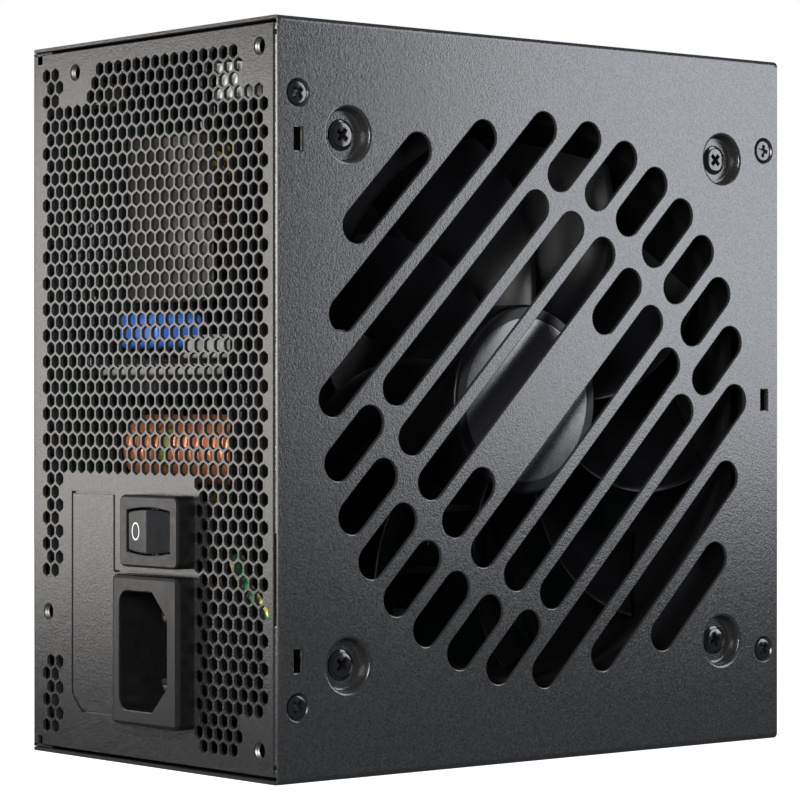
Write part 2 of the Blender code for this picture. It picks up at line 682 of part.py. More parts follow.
def switch():
    face = REAR - STAND
    pivot = (SWITCH_X, face + ROCKER_PIVOT_DEPTH, SWITCH_Z)
    bezel = rounded((SWITCH_X, SWITCH_Z), BEZEL, BEZEL_CORNER, steps=3)
    housing = prism("switch_housing", [bezel], "Y", face, REAR - GAP, "black_plastic")
    body = rectangle((SWITCH_X, SWITCH_Z), SWITCH_BODY[:2])
    back = REAR + SWITCH_BODY[2]
    join(housing, prism("switch_body", [body], "Y", REAR - 1, back))
    opening = barrel(ROCKER_HALF + WELL_MARGIN, ROCKER_HALF_WIDTH + ROCKER_CLEARANCE, ROCKER_BULGE)
    well = prism("switch_well", [opening], "Y", face - 1, face + ROCKER_PIVOT_DEPTH + WELL_DEPTH)
    hole = rod_profile(TRUNNION_RADIUS + RUNNING, *trunnion_span(GAP))
    trunnion_hole = turned("trunnion_hole", hole, pivot, "+Z")
    combine(well, "INTERSECT", well_floor(pivot))
    pockets = [terminal(x, GAP) for x in terminal_places()]
    cut(housing, well, trunnion_hole, boxes("terminal_pockets", pockets))
    rocker(pivot)
    for index, x in enumerate(terminal_places(), 1):
        box(f"switch_terminal_{index}", *terminal(x), "brass")


def terminal_places():
    return (SWITCH_X - TERMINAL_OFFSET, SWITCH_X + TERMINAL_OFFSET)


def terminal(x, extra=0.0):
    """Two corners of the flat terminal at this X, or of the pocket round it."""
    length, thickness, out, inside = TERMINAL
    back = REAR + SWITCH_BODY[2]
    half_x, half_z = length / 2 + extra, thickness / 2 + extra
    return (x - half_x, back - inside - extra, SWITCH_Z - half_z), (x + half_x, back + out, SWITCH_Z + half_z)


def trunnion_span(extra=0.0):
    """Top and bottom of the rocker's round pivot, from its middle."""
    half = ROCKER_HALF_WIDTH + ROCKER_BULGE + TRUNNION_REACH + extra
    return half, -half


def well_floor(pivot):
    """The room over the floor of the switch's well, which rises towards the rocker's ends."""
    x, y, _ = pivot
    ends, middle, depth = 9.0, 6.2, 1.75
    outline = [(x - ends, y - 6), (x - ends, y + 1.2), (x - middle, y + depth)]
    outline += [(x + middle, y + depth), (x + ends, y + 1.2), (x + ends, y - 6)]
    return prism("well_floor", [outline], "Z", SWITCH_Z - ends, SWITCH_Z + ends)


def rocker(pivot):
    x, y, z = pivot
    side = [(x + u, y - v) for u, v in rocker_side()]
    half = ROCKER_HALF_WIDTH + ROCKER_BULGE + 1
    piece = prism("switch_rocker", [side], "Z", z - half, z + half, "black_plastic", at=pivot)
    front = barrel(ROCKER_HALF + 0.3, ROCKER_HALF_WIDTH, ROCKER_BULGE)
    combine(piece, "INTERSECT", prism("rocker_front", [front], "Y", y - 8, y + 4, at=pivot))
    join(piece, turned("trunnion", rod_profile(TRUNNION_RADIUS, *trunnion_span()), pivot, "+Z"))
    piece.rotation_euler = (0, 0, ROCKER_TILT)
    for modifier in piece.modifiers:
        if modifier.operation == "INTERSECT":
            modifier.object.rotation_euler = (0, 0, ROCKER_TILT)


# ---------------------------------------------------------------- fan


def fan_frame():
    middle = (0, FAN_Z)
    square = rounded(middle, (FAN_SIZE, FAN_SIZE), 5.0, steps=3)
    frame = prism("fan_frame", [square], "X", FAN_FRONT - FAN_FLANGE, FAN_FRONT, "fan_plastic")
    join(
        frame,
        prism("back_flange", [square], "X", FAN_BACK, FAN_BACK + FAN_FLANGE),
        cylinders("duct", FAN_BORE + FAN_WALL, [middle], "X", FAN_BACK + 1, FAN_FRONT - 1, steps=40),
    )
    cut(
        frame,
        cylinders("duct_bore", FAN_BORE, [middle], "X", FAN_BACK - 1, FAN_FRONT + 1, steps=40),
        cylinders("fan_holes", FAN_HOLE_RADIUS, fan_screw_places(), "X", FAN_BACK - 1, FAN_FRONT + 1),
    )
    arms = []
    for index, turn in enumerate((math.radians(25), math.radians(115))):
        along = Vector((math.cos(turn), math.sin(turn))) * (FAN_BORE + FAN_WALL / 2)
        across = Vector((-math.sin(turn), math.cos(turn))) * ARM_WIDTH / 2
        corners = (along - across, along + across, across - along, -along - across)
        outline = [(u, FAN_Z + v) for u, v in corners]
        inset = 0.2 * index
        arms.append(prism(f"fan_arms_{index}", [outline], "X", FAN_BACK + inset, FAN_BACK + ARM_DEPTH - inset))
    seat_end = FAN_BACK + SEAT_THICKNESS
    seat = cylinders("motor_seat", HUB_RADIUS - 1, [middle], "X", FAN_BACK, seat_end, steps=32)
    tube_end = FAN_BACK + TUBE_LENGTH
    tube = cylinders("bearing_tube", TUBE_RADIUS, [middle], "X", FAN_BACK + 1, tube_end)
    join(frame, *arms, seat, tube)
    cut(frame, cylinders("bearing_bore", BEARING_RADIUS + GAP, [middle], "X", FAN_BACK - 1, tube_end + 1))


def fan_blades():
    """All blades as one helper: each is a grid bent round the hub, made solid."""
    bm = bmesh.new()
    inner, radial, chord, camber = HUB_RADIUS - HUB_WALL / 2, 5, 3, 2.0
    for index in range(BLADES):
        made = bmesh.ops.create_grid(bm, x_segments=radial, y_segments=chord, size=1)["verts"]
        for vert in made:
            out, back = (vert.co.x + 1) / 2, (1 - vert.co.y) / 2
            radius = inner + (BLADE_TIP - inner) * out
            turn = index * 2 * math.pi / BLADES + BLADE_SWEEP * out**1.5
            turn += BLADE_TURN * back * (1.25 - 0.35 * out)
            depth = HUB_FRONT - 1.2 - (HUB_FRONT - HUB_BACK - 2.4) * back
            depth -= camber * math.sin(math.pi * back) * out
            vert.co = (depth, radius * math.cos(turn), radius * math.sin(turn))
    bmesh.ops.scale(bm, vec=(MM, MM, MM), verts=bm.verts)
    mesh = bpy.data.meshes.new("blades")
    bm.to_mesh(mesh)
    bm.free()
    blades = place("blades", mesh, None, (0, 0, FAN_Z))
    solid = blades.modifiers.new("thickness", "SOLIDIFY")
    solid.thickness = BLADE_THICKNESS * MM
    solid.offset = 0
    return blades


def fan_motor():
    centre = (0, 0, FAN_Z)
    inner = HUB_RADIUS - HUB_WALL
    cap, boss = HUB_FRONT - 1.8, HUB_FRONT - 4.5
    hub = [
        (0, HUB_FRONT),
        (HUB_RADIUS - 1, HUB_FRONT),
        (HUB_RADIUS, HUB_FRONT - 1),
        (HUB_RADIUS, HUB_BACK),
        (inner, HUB_BACK),
        (inner, cap),
        (4, cap),
        (4, boss),
        (SHAFT_RADIUS + GAP, boss),
        (SHAFT_RADIUS + GAP, HUB_FRONT - 1.2),
        (0, HUB_FRONT - 1.2),
    ]
    rotor = turned("fan_rotor", hub, centre, "+X", "fan_plastic", steps=32)
    join(rotor, fan_blades())
    magnet = inner - GAP - MAGNET_THICKNESS
    ring = tube_profile(inner - GAP, magnet, HUB_BACK + 0.5 + MAGNET_LENGTH, HUB_BACK + 0.5)
    turned("fan_magnet_ring", ring, centre, "+X", "magnet", steps=20)
    shaft = rod_profile(SHAFT_RADIUS, HUB_FRONT - 1.5, FAN_BACK + 1)
    turned("fan_shaft", shaft, centre, "+X", "bright_steel")
    sleeve_end = FAN_BACK + TUBE_LENGTH - GAP
    sleeve = tube_profile(BEARING_RADIUS, SHAFT_RADIUS + RUNNING, sleeve_end, sleeve_end - SLEEVE_LENGTH)
    turned("fan_bearing", sleeve, centre, "+X", "brass")
    fan_stator(magnet - 0.5)


def fan_stator(reach):
    """Four arms with curved shoes around the bearing tube."""
    poles, shoe, neck, core = 4, STATOR_SHOE, STATOR_NECK, STATOR_CORE_RADIUS
    outline = []
    for index in range(poles):
        turn = index * 2 * math.pi / poles
        root, under = math.asin(neck / core), math.asin(neck / (reach - 2))
        outline += arc((0, FAN_Z), core, turn - root, turn - root, 1)[:1]
        outline += arc((0, FAN_Z), reach - 2, turn - under, turn - shoe, 2)
        outline += arc((0, FAN_Z), reach, turn - shoe, turn + shoe, 5)
        outline += arc((0, FAN_Z), reach - 2, turn + shoe, turn + under, 2)
        outline += arc((0, FAN_Z), core, turn + root, turn + root, 1)[:1]
    bore = circle((0, FAN_Z), TUBE_RADIUS + GAP, ROUND_STEPS)
    prism("fan_stator", [outline, bore], "X", FAN_BACK + STATOR[0], FAN_BACK + STATOR[1], "copper")


# ---------------------------------------------------------------- circuit board and what it carries


def boards():
    flat_piece("main_board", BOARD_TOP - BOARD_THICKNESS, BOARD_THICKNESS, BOARD_SHANK + GAP, "circuit_board")
    flat_piece("insulating_sheet", PLATE_SIDE + SHEET + GAP, FILM, STANDOFF_RADIUS + GAP, "insulator")
    box("converter_board", (ON_BOARD, 0, 50), (-8, 40, 50 + BOARD_THICKNESS), "circuit_board")
    box("control_board", (ON_BOARD, -2, 36), (-14, 28, 36 + BOARD_THICKNESS), "circuit_board")
    (x0, z0), (x1, z1) = SOCKET_BOARD
    box("socket_board", (x0, SOCKET_BOARD_Y, z0), (x1, SOCKET_BOARD_Y + BOARD_THICKNESS, z1), "circuit_board")


def flat_piece(name, low_x, thickness, hole_radius, finish):
    """The main board, or the film under it, with its four holes."""
    (y0, y1), (z0, z1) = BOARD_Y, BOARD_Z
    piece = box(name, (low_x, y0, z0), (low_x + thickness, y1, z1), finish)
    cut(piece, cylinders(f"{name}_holes", hole_radius, BOARD_SCREWS, "X", low_x - 1, low_x + thickness + 1))


def finned(name, low, high, base, fins, thickness, finish):
    """A heatsink: a base plate on its low Y side and fins that run along X."""
    sink = box(name, low, (high[0], low[1] + base, high[2]), finish)
    pitch = (high[2] - low[2] - thickness) / (fins - 1)
    corners = []
    for index in range(fins):
        z = low[2] + pitch * index
        corners.append(((low[0] + 1, low[1] + base / 2, z), (high[0], high[1], z + thickness)))
    join(sink, boxes(f"{name}_fins", corners))


def soft_box(name, low, high, radius, finish):
    """A box with rounded edges, as a moulded or dipped part has."""
    obj = box(name, low, high, finish)
    bevel = obj.modifiers.new("round", "BEVEL")
    bevel.width = radius * MM
    bevel.segments = 2
    return obj


def transformer(name, low, high, wrap, finish):
    """A ferrite core with the taped winding standing out of it on two sides."""
    core = box(name, low, high, finish)
    (x0, y0, z0), (x1, y1, z1) = low, high
    inset = (z1 - z0) * 0.2
    corners = (x0 + 3, y0 - wrap, z0 + inset), (x1 - 3, y1 + wrap, z1 - inset)
    join(core, soft_box(f"{name}_winding", *corners, 2, None))


def components():
    filter_parts()
    soft_box("film_capacitor_1", (ON_BOARD, -55, 76), (-18, -37, 84), 0.8, "pale_film")
    soft_box("film_capacitor_2", (ON_BOARD, -57, 86), (-13, -41, 93.5), 0.8, "blue_film")
    finned("primary_heatsink", (ON_BOARD, -50, 96), (-9, -47, 131), 3, 2, 3, "heatsink")
    box("rectifier", (-34, -47 + GAP, 101), (-14, -43.2, 122), "sleeve")
    finned("secondary_heatsink", (ON_BOARD, 2, 104), (-8, 34, 136), 3, 5, 2, "heatsink")
    transformer("main_transformer", (ON_BOARD, 6, 64), (-3, 36, 98), 3.5, "magnet")
    transformer("standby_transformer", (ON_BOARD, -4, 10), (-17, 14, 28), 2, "magnet")
    can = [(0, 44), (14, 44), (15, 43), (15, 40), (14.4, 39), (15, 38), (15, 1), (14, 0), (0, 0)]
    turned("bulk_capacitor", can, (ON_BOARD, -18, 84), "+X", "sleeve", steps=20)
    ring = [(11 + 5.4 * math.cos(a), 5.4 + 5.4 * math.sin(a)) for a in
            [math.radians(90) - 2 * math.pi * i / 8 for i in range(9)]]
    turned("boost_choke", ring, (ON_BOARD, -21, 118), "+X", "copper", steps=16)


def filter_parts():
    """The two filter chokes, each a round winding on a square foot, and the fuse beside them."""
    for index, (y0, y1, z, radius) in enumerate(((-58, -40, 66, 7.5), (-33, -13, 52, 8)), 1):
        centre_x = ON_BOARD + radius + 6
        choke = cylinders(f"filter_winding_{index}", radius, [(centre_x, z)], "Y", y0, y1, steps=16)
        low, high = (ON_BOARD, y0 + 2, z - radius + 1), (centre_x, y1 - 2, z + radius - 1)
        foot = box(f"filter_choke_{index}", low, high, "copper")
        join(foot, choke)
    turned("fuse", rod_profile(2.6, 20, 0), (ON_BOARD + 3.2, -56, 48), "+Y", "insulator", steps=12)


def wires():
    inlet_back = REAR + INLET_BODY[2] + BLADE_TAIL + GAP
    switch_back = REAR + SWITCH_BODY[2] + 6 + GAP
    line_x = SOCKET_X - EARTH_OFFSET / 2
    line_z, neutral_z = SOCKET_Z + BLADE_SPACING / 2, SOCKET_Z - BLADE_SPACING / 2
    first, second = terminal_places()
    wire("live_wire", ((line_x, inlet_back, line_z), (line_x, inlet_back + 3, line_z),
                       (line_x - 1, inlet_back + 6, line_z + 6), (first, switch_back + 3, SWITCH_Z),
                       (first, switch_back, SWITCH_Z)), 2.2, "brown_wire")
    wire("switched_wire", ((second, switch_back, SWITCH_Z), (second, switch_back + 4, SWITCH_Z),
                           (5, switch_back + 8.5, 51), (-8, -37.5, 51), (-22, -37, 46), (-30, -37, 40),
                           (ON_BOARD, -37, 40)), 2.2, "brown_wire")
    wire("neutral_wire", ((line_x, inlet_back, neutral_z), (line_x, inlet_back + 3, neutral_z),
                          (-8, inlet_back + 5, 18), (-22, -42, 22), (-30, -42, 24), (ON_BOARD, -42, 24)),
         2.2, "blue_wire")
    wire("earth_wire", ((line_x + EARTH_OFFSET, inlet_back, SOCKET_Z),
                        (line_x + EARTH_OFFSET, inlet_back + 2.5, SOCKET_Z), (9, -43.5, 30), (11.2, -46, 36),
                        (10.8, -52, 39.3), (11, -60, 39.5), (16, -64.5, 41), (24, -66, 39.5),
                        (30, -66, 36), (34.5, -66, 31), (36, -66, 27)), 2.2, "earth_wire")
    wire("fan_lead", ((20, 44, 13), (14, 44, 11), (4, 42, 10), (-14, 36, 12), (-28, 34, 12),
                      (ON_BOARD, 34, 12)), 2.4, "sleeve")


def output_sockets():
    for name, row, start, columns, pitch in HEADERS:
        outline = header_outline(row, start, columns, pitch)
        body = [outline[0], outline[1], outline[6], outline[7]]
        latch = outline[2:6]
        socket = prism(name, [body], "Y", HEADER_BACK, FRONT, "black_plastic")
        block = [(u - 0.5 * (i in (0, 3)), v) for i, (u, v) in enumerate(latch)]
        join(socket, prism(f"{name}_latch", [block], "Y", FRONT - LATCH[2], FRONT - 0.2))
        cell = pitch * HEADER_CELL_SHARE
        cells = []
        for column in range(columns):
            for side in (-1, 1):
                z = start + HEADER_WALL + cell / 2 + column * pitch
                cells.append(rectangle((HEADER_ROWS[row] + side * pitch / 2, z), (cell, cell)))
        cut(socket, prism(f"{name}_cells", cells, "Y", FRONT - HEADER_CELL_DEPTH, FRONT + 1))


clear_scene()
UNIT = collection("power_supply_unit")
CUTTERS = collection("cutters")
base_tray()
cover()
screws()
inlet()
switch()
fan_frame()
fan_motor()
boards()
components()
wires()
output_sockets()
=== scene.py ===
"""The looks of a computer power supply unit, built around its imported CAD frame.

The frame: +Z is up, the slotted fan side faces +X, the rear panel with the mains inlet faces -Y and
the panel with the output sockets faces +Y. Sizes and places below are in millimetres, and the helpers
turn them into Blender's metres.
"""

import functools
import json
import math
import random

import bmesh
import bpy
from mathutils import Matrix, Vector

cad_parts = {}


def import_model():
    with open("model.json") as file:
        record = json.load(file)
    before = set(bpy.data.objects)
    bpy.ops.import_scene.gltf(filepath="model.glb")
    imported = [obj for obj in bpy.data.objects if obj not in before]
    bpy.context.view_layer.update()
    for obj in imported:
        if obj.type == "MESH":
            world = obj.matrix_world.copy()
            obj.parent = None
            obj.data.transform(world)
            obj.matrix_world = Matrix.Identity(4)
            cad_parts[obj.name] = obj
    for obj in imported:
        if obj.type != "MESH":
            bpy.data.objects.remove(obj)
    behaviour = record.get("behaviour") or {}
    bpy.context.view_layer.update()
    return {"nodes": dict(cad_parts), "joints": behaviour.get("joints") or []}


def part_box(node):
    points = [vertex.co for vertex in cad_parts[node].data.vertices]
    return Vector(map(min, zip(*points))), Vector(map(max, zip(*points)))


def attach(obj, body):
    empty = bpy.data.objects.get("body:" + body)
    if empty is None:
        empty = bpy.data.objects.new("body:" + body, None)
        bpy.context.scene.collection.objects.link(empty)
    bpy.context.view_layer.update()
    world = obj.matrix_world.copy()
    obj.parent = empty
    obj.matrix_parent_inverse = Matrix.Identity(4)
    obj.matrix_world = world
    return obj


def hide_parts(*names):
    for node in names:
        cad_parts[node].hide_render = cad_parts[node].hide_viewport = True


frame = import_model()

MM = 0.001
WELD = 0.0005  # mm, the distance within which two corners of a mesh are the same corner
SMOOTH_ANGLE = math.radians(35)
random.seed(11)


@functools.cache
def span(node):
    """Lowest and highest corner of a CAD node, in millimetres."""
    low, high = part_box(node)
    return low / MM, high / MM


def centre(node):
    """The middle of a CAD node's box."""
    low, high = span(node)
    return (low + high) / 2


# Driving sizes, from the CAD frame
CASE_LOW, CASE_HIGH = span("cover")
FAN_SIDE, PLATE_SIDE = CASE_HIGH.x, CASE_LOW.x
REAR, FRONT = CASE_LOW.y, CASE_HIGH.y
HEIGHT = CASE_HIGH.z
SHEET = 0.8  # the thickness of the case's sheet
COVER_BEND, TRAY_BEND = 1.2, 1.0  # the outer radii of the folds
SIDE_GAP = 1.45  # between the tray's edges and the cover's outer faces
EAR = 9.5  # the width of the ears on the tray, which lie behind the fan side
FAN_AXIS = Vector((0, 0, centre("fan_shaft").z))

# Fan side: slots in rows that slant at 45 degrees, inside a circle
ROW_PITCH, SLOT_RADIUS, SLOT_CIRCLE = 10.0, 3.5, 56.4
SIDE_SLOT, WEB = 11.3, 3.6
LAST_ROW, LAST_ROW_REACH = 6, 11.2
SINGLE_ROWS = (4, 5)
MIDDLE_ROW_SLOTS = ((24.5, 34.6), (45.1, 56.4))
TAB_SLOTS = ((-65.1, 126.0), (-65.1, 24.0), (65.8, 75.0))  # Y and Z
TAB_SLOT_SIZE = (2.1, 4.5)
DIMPLE_DEPTH = 2.6

# Rear panel
CELL_PITCH, CELL_ROW = 3.298, 2.765
CELL_HALF_WIDTH, CELL_HALF_HEIGHT, CELL_CORNER = 1.32, 1.45, 0.28
CELL_ROWS, FIRST_CELL = 51, (-37.6, 144.0)
CASE_HOLES = ((-26.8, 144.0), (36.9, 144.3), (-36.8, 30.0), (36.9, 6.3))  # X and Z
PLATE_TOP_ROW, PLATE_LEFT, PLATE_RIGHT = 31, -32.0, 16.7  # the plain metal round the inlet
HOLE_RADIUS, NOTCH_SIZE = 1.72, (1.6, 1.9)
TRAY_LIP, COVER_LIP = 0.1, 0.26  # the round edges of punched holes
LATCH, LATCH_HALF = 2.0, 2.0  # the block on an output socket: how far it stands out, and half its width


# ---------------------------------------------------------------- materials


class Nodes:
    """A material's node tree, with a Principled shader."""

    def __init__(self, name):
        self.material = bpy.data.materials.new(name)
        self.material.use_nodes = True
        self.tree = self.material.node_tree
        self.shader = self.tree.nodes["Principled BSDF"]

    def add(self, kind, **inputs):
        node = self.tree.nodes.new(kind)
        for key, value in inputs.items():
            self.feed(node, key.replace("_", " "), value)
        return node

    def feed(self, node, key, value):
        socket = node.inputs[key]
        if isinstance(value, bpy.types.NodeSocket):
            self.tree.links.new(value, socket)
        else:
            socket.default_value = value

    def place(self):
        return self.add("ShaderNodeTexCoord").outputs["Object"]

    def noise(self, size_mm, detail=2.0, roughness=0.5):
        """Noise whose features are about this size."""
        node = self.add("ShaderNodeTexNoise", Vector=self.place(), Scale=1 / (size_mm * MM), Detail=detail)
        self.feed(node, "Roughness", roughness)
        return node.outputs["Fac"]

    def between(self, factor, low, high):
        """A number that goes from low to high with the factor."""
        node = self.add("ShaderNodeMapRange", Value=factor)
        node.inputs["From Min"].default_value = 0.3
        node.inputs["From Max"].default_value = 0.7
        node.inputs["To Min"].default_value = low
        node.inputs["To Max"].default_value = high
        return node.outputs["Result"]

    def mix(self, factor, first, second):
        node = self.add("ShaderNodeMix")
        node.data_type = "RGBA"
        self.feed(node, 0, factor)
        for index, value in ((6, first), (7, second)):
            self.feed(node, index, value if isinstance(value, bpy.types.NodeSocket) else (*value, 1))
        return node.outputs[2]

    def bump(self, height, depth_mm, under=None):
        node = self.add("ShaderNodeBump", Height=height, Distance=depth_mm * MM)
        if under:
            self.feed(node, "Normal", under)
        return node.outputs["Normal"]


def plain(name, colour, roughness, metallic, grain, depth, change=0.12, specular=0.5):
    """A finish with a faint grain in its relief, and a little unevenness in colour and gloss."""
    nodes = Nodes(name)
    dark = [c * (1 - change) for c in colour]
    light = [min(1, c * (1 + change)) for c in colour]
    broad = nodes.noise(grain * 8)
    nodes.feed(nodes.shader, "Base Color", nodes.mix(nodes.between(broad, 0, 1), dark, light))
    gloss = nodes.between(nodes.noise(grain * 3), roughness * 0.88, roughness * 1.12)
    nodes.feed(nodes.shader, "Roughness", gloss)
    nodes.feed(nodes.shader, "Metallic", metallic)
    nodes.feed(nodes.shader, "Normal", nodes.bump(nodes.noise(grain), depth))
    nodes.feed(nodes.shader, "Specular IOR Level", specular)
    return nodes.material


def powder_coat():
    """Satin black powder coat: a fine wrinkle, with softer waves under it."""
    nodes = Nodes("powder_coat")
    fine = nodes.noise(0.42, detail=2, roughness=0.6)
    waves = nodes.noise(1.3, detail=1)
    nodes.feed(nodes.shader, "Base Color", nodes.mix(nodes.between(fine, 0, 1), (0.012,) * 3, (0.022,) * 3))
    nodes.feed(nodes.shader, "Roughness", nodes.between(fine, 0.17, 0.25))
    relief = nodes.bump(waves, 0.008)
    nodes.feed(nodes.shader, "Normal", nodes.bump(fine, 0.038, relief))
    nodes.feed(nodes.shader, "Specular IOR Level", nodes.between(fine, 0.38, 0.62))
    return nodes.material


def striped(name, base, stripe):
    """Wire insulation with a stripe along a diagonal."""
    nodes = Nodes(name)
    wave = nodes.add("ShaderNodeTexWave", Vector=nodes.place(), Scale=90.0, Distortion=0.0)
    wave.bands_direction = "DIAGONAL"
    ramp = nodes.add("ShaderNodeValToRGB", Fac=wave.outputs["Fac"])
    ramp.color_ramp.interpolation = "CONSTANT"
    ramp.color_ramp.elements[1].position = 0.28
    ramp.color_ramp.elements[0].color = (*base, 1)
    ramp.color_ramp.elements[1].color = (*stripe, 1)
    nodes.feed(nodes.shader, "Base Color", ramp.outputs["Color"])
    nodes.feed(nodes.shader, "Roughness", 0.4)
    return nodes.material


def wound(name, colour, pitch_mm):
    """Enamelled wire, drawn as fine turns in relief, with painted shade in the grooves between the turns."""
    nodes = Nodes(name)
    wave = nodes.add("ShaderNodeTexWave", Vector=nodes.place(), Scale=math.pi / (10 * pitch_mm * MM))
    wave.bands_direction = "Y"
    # Painted shade: the colour falls to 0.35 of itself in the grooves between the turns.
    dark = [c * 0.35 for c in colour]
    nodes.feed(nodes.shader, "Base Color", nodes.mix(wave.outputs["Fac"], dark, colour))
    nodes.feed(nodes.shader, "Roughness", 0.32)
    nodes.feed(nodes.shader, "Metallic", 0.7)
    nodes.feed(nodes.shader, "Normal", nodes.bump(wave.outputs["Fac"], 0.3))
    return nodes.material


# Colour, roughness, metallic, the grain's size and depth in mm, unevenness of colour, specular level
FINISHES = {
    "black_plastic": ((0.004, 0.004, 0.004), 0.36, 0, 0.5, 0.006, 0.12, 0.42),
    "rocker_plastic": ((0.008, 0.009, 0.01), 0.36, 0, 0.5, 0.003),
    "fan_plastic": ((0.003, 0.003, 0.0035), 0.3, 0, 1.5, 0.003, 0.12, 0.1),
    "frame_plastic": ((0.003, 0.003, 0.0035), 0.7, 0, 0.8, 0.006, 0.12, 0.06),
    "screw_black": ((0.006, 0.006, 0.007), 0.12, 0, 0.4, 0.002),
    # The inlet's contacts: painted shade, darkened to stand for the deep shade of the well they sit in.
    "shaded_contact": ((0.12, 0.11, 0.1), 0.55, 1, 0.4, 0.003),
    "bright_steel": ((0.3, 0.295, 0.28), 0.3, 1, 0.4, 0.003),
    "cut_steel": ((0.17, 0.165, 0.155), 0.5, 1, 0.3, 0.003),
    "brass": ((0.72, 0.56, 0.3), 0.28, 1, 0.4, 0.002),
    "nickel": ((0.34, 0.33, 0.3), 0.35, 1, 0.4, 0.002),
    "gold": ((0.9, 0.65, 0.25), 0.25, 1, 0.4, 0.002),
    "copper_wire": ((0.6, 0.22, 0.1), 0.38, 0.6, 0.7, 0.004, 0.2),
    "ferrite": ((0.05, 0.05, 0.052), 0.55, 0, 0.4, 0.01),
    "tape": ((0.08, 0.06, 0.025), 0.4, 0, 2.0, 0.01),
    # The main board's own green, darkened almost to black: painted shade for the dark inside of the case.
    "circuit_board": ((0.003, 0.009, 0.006), 0.45, 0, 1.2, 0.01, 0.3, 0.15),
    "dark_board": ((0.004, 0.005, 0.005), 0.45, 0, 1.2, 0.01, 0.3, 0.2),
    "insulator": ((0.02, 0.02, 0.02), 0.45, 0, 2.0, 0.004),
    "heatsink": ((0.13, 0.12, 0.11), 0.45, 0.6, 1.6, 0.15, 0.6),
    "blue_film": ((0.05, 0.2, 0.78), 0.3, 0, 2.0, 0.01),
    "pale_film": ((0.02, 0.02, 0.022), 0.4, 0, 1.0, 0.006),
    "sleeve": ((0.012, 0.012, 0.013), 0.2, 0, 2.0, 0.006),
    "fuse_ceramic": ((0.8, 0.79, 0.75), 0.35, 0, 0.8, 0.004),
    "pale_block": ((0.4, 0.4, 0.38), 0.35, 0, 0.8, 0.02, 0.3),
    "brown_wire": ((0.16, 0.06, 0.02), 0.4, 0, 0.8, 0.004),
    "blue_wire": ((0.02, 0.06, 0.4), 0.4, 0, 0.8, 0.004),
    "white_ink": ((0.85, 0.85, 0.83), 0.4, 0, 0.5, 0.002, 0.03),
    "hub_label": ((0.014, 0.014, 0.016), 0.26, 0, 0.5, 0.003, 0.05, 0.8),
    "choke_green": ((0.18, 0.3, 0.04), 0.4, 0, 1.0, 0.006),
    "choke_yellow": ((0.3, 0.3, 0.06), 0.45, 0, 1.0, 0.006),
    "lead_solder": ((0.1, 0.1, 0.105), 0.45, 1, 0.5, 0.01),
}
LOOKS = {name: plain(name, *finish) for name, finish in FINISHES.items()}
LOOKS["powder_coat"] = powder_coat()
LOOKS["copper"] = wound("copper", (0.3, 0.12, 0.05), 1.0)
LOOKS["earth_wire"] = striped("earth_wire", (0.01, 0.12, 0.035), (0.8, 0.76, 0.22))


# ---------------------------------------------------------------- meshes


def linked(name, data):
    """A new object of the scene with this mesh, curve, light or camera."""
    obj = bpy.data.objects.new(name, data)
    bpy.context.scene.collection.objects.link(obj)
    return obj


def evaluated_mesh(obj):
    """The mesh that an object has after its modifiers or its bevel."""
    graph = bpy.context.evaluated_depsgraph_get()
    return bpy.data.meshes.new_from_object(obj.evaluated_get(graph))


def stroke_curve(dimensions, loops, closed):
    """A curve of straight strokes through the points of each loop."""
    curve = bpy.data.curves.new("curve", "CURVE")
    curve.dimensions = dimensions
    for loop in loops:
        spline = curve.splines.new("POLY")
        spline.points.add(len(loop) - 1)
        spline.use_cyclic_u = closed
        for point, place in zip(spline.points, loop):
            point.co = (*place, 1)
    return curve


def curve_mesh(curve):
    """A curve's mesh. The curve is removed."""
    obj = linked("curve", curve)
    mesh = evaluated_mesh(obj)
    bpy.data.objects.remove(obj)
    bpy.data.curves.remove(curve)
    return mesh


def finish_mesh(name, bm, look, smooth=True, weighted=False):
    """An object from a bmesh in millimetres, cleaned, shaded and with its look."""
    bmesh.ops.remove_doubles(bm, verts=bm.verts, dist=WELD)
    bmesh.ops.recalc_face_normals(bm, faces=bm.faces)
    bmesh.ops.scale(bm, vec=(MM, MM, MM), verts=bm.verts)
    mesh = bpy.data.meshes.new(name)
    bm.to_mesh(mesh)
    bm.free()
    if smooth:
        mesh.shade_smooth()
        mesh.set_sharp_from_angle(angle=SMOOTH_ANGLE)
    if weighted:
        for face in mesh.polygons:
            face.use_smooth = max(abs(part) for part in face.normal) < 0.9999
    mesh.materials.append(LOOKS[look])
    obj = linked(name, mesh)
    if weighted:
        normals = obj.modifiers.new("even_shading", "WEIGHTED_NORMAL")
        normals.keep_sharp = True
    return obj


def fixed(obj, slot, body="case", *nodes):
    """Rides the piece on its body, and hides the CAD nodes that it stands for. The slot is not used."""
    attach(obj, body)
    if nodes:
        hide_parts(*nodes)
    return obj


def ring_band(bm, first, second):
    """Faces between two closed rows of vertices, of which one may be a single tip."""
    if len(first) > len(second):
        first, second = second, first
    count = len(second)
    for index in range(count):
        after = (index + 1) % count
        start = (first[index], first[after]) if len(first) > 1 else first
        bm.faces.new((*start, second[after], second[index]))


def loft(bm, rows, closed=False):
    """Faces between each closed row of vertices and the next, and from the last to the first if closed."""
    for first, second in zip(rows, rows[1:] + (rows[:1] if closed else [])):
        ring_band(bm, first, second)


def close_up(bm, rows):
    """The same, with a face on the first row and one on the last."""
    loft(bm, rows)
    bm.faces.new(rows[0])
    bm.faces.new(rows[-1])


def rounded_block(bm, low, high, radius, steps):
    """Adds a box with rounded edges."""
    made = bmesh.ops.create_cube(bm, size=1)["verts"]
    bmesh.ops.scale(bm, vec=high - low, verts=made)
    bmesh.ops.translate(bm, vec=(low + high) / 2, verts=made)
    edges = list(dict.fromkeys(edge for vert in made for edge in vert.link_edges))
    bmesh.ops.bevel(bm, geom=edges, offset=radius, segments=steps, profile=0.5, affect="EDGES")


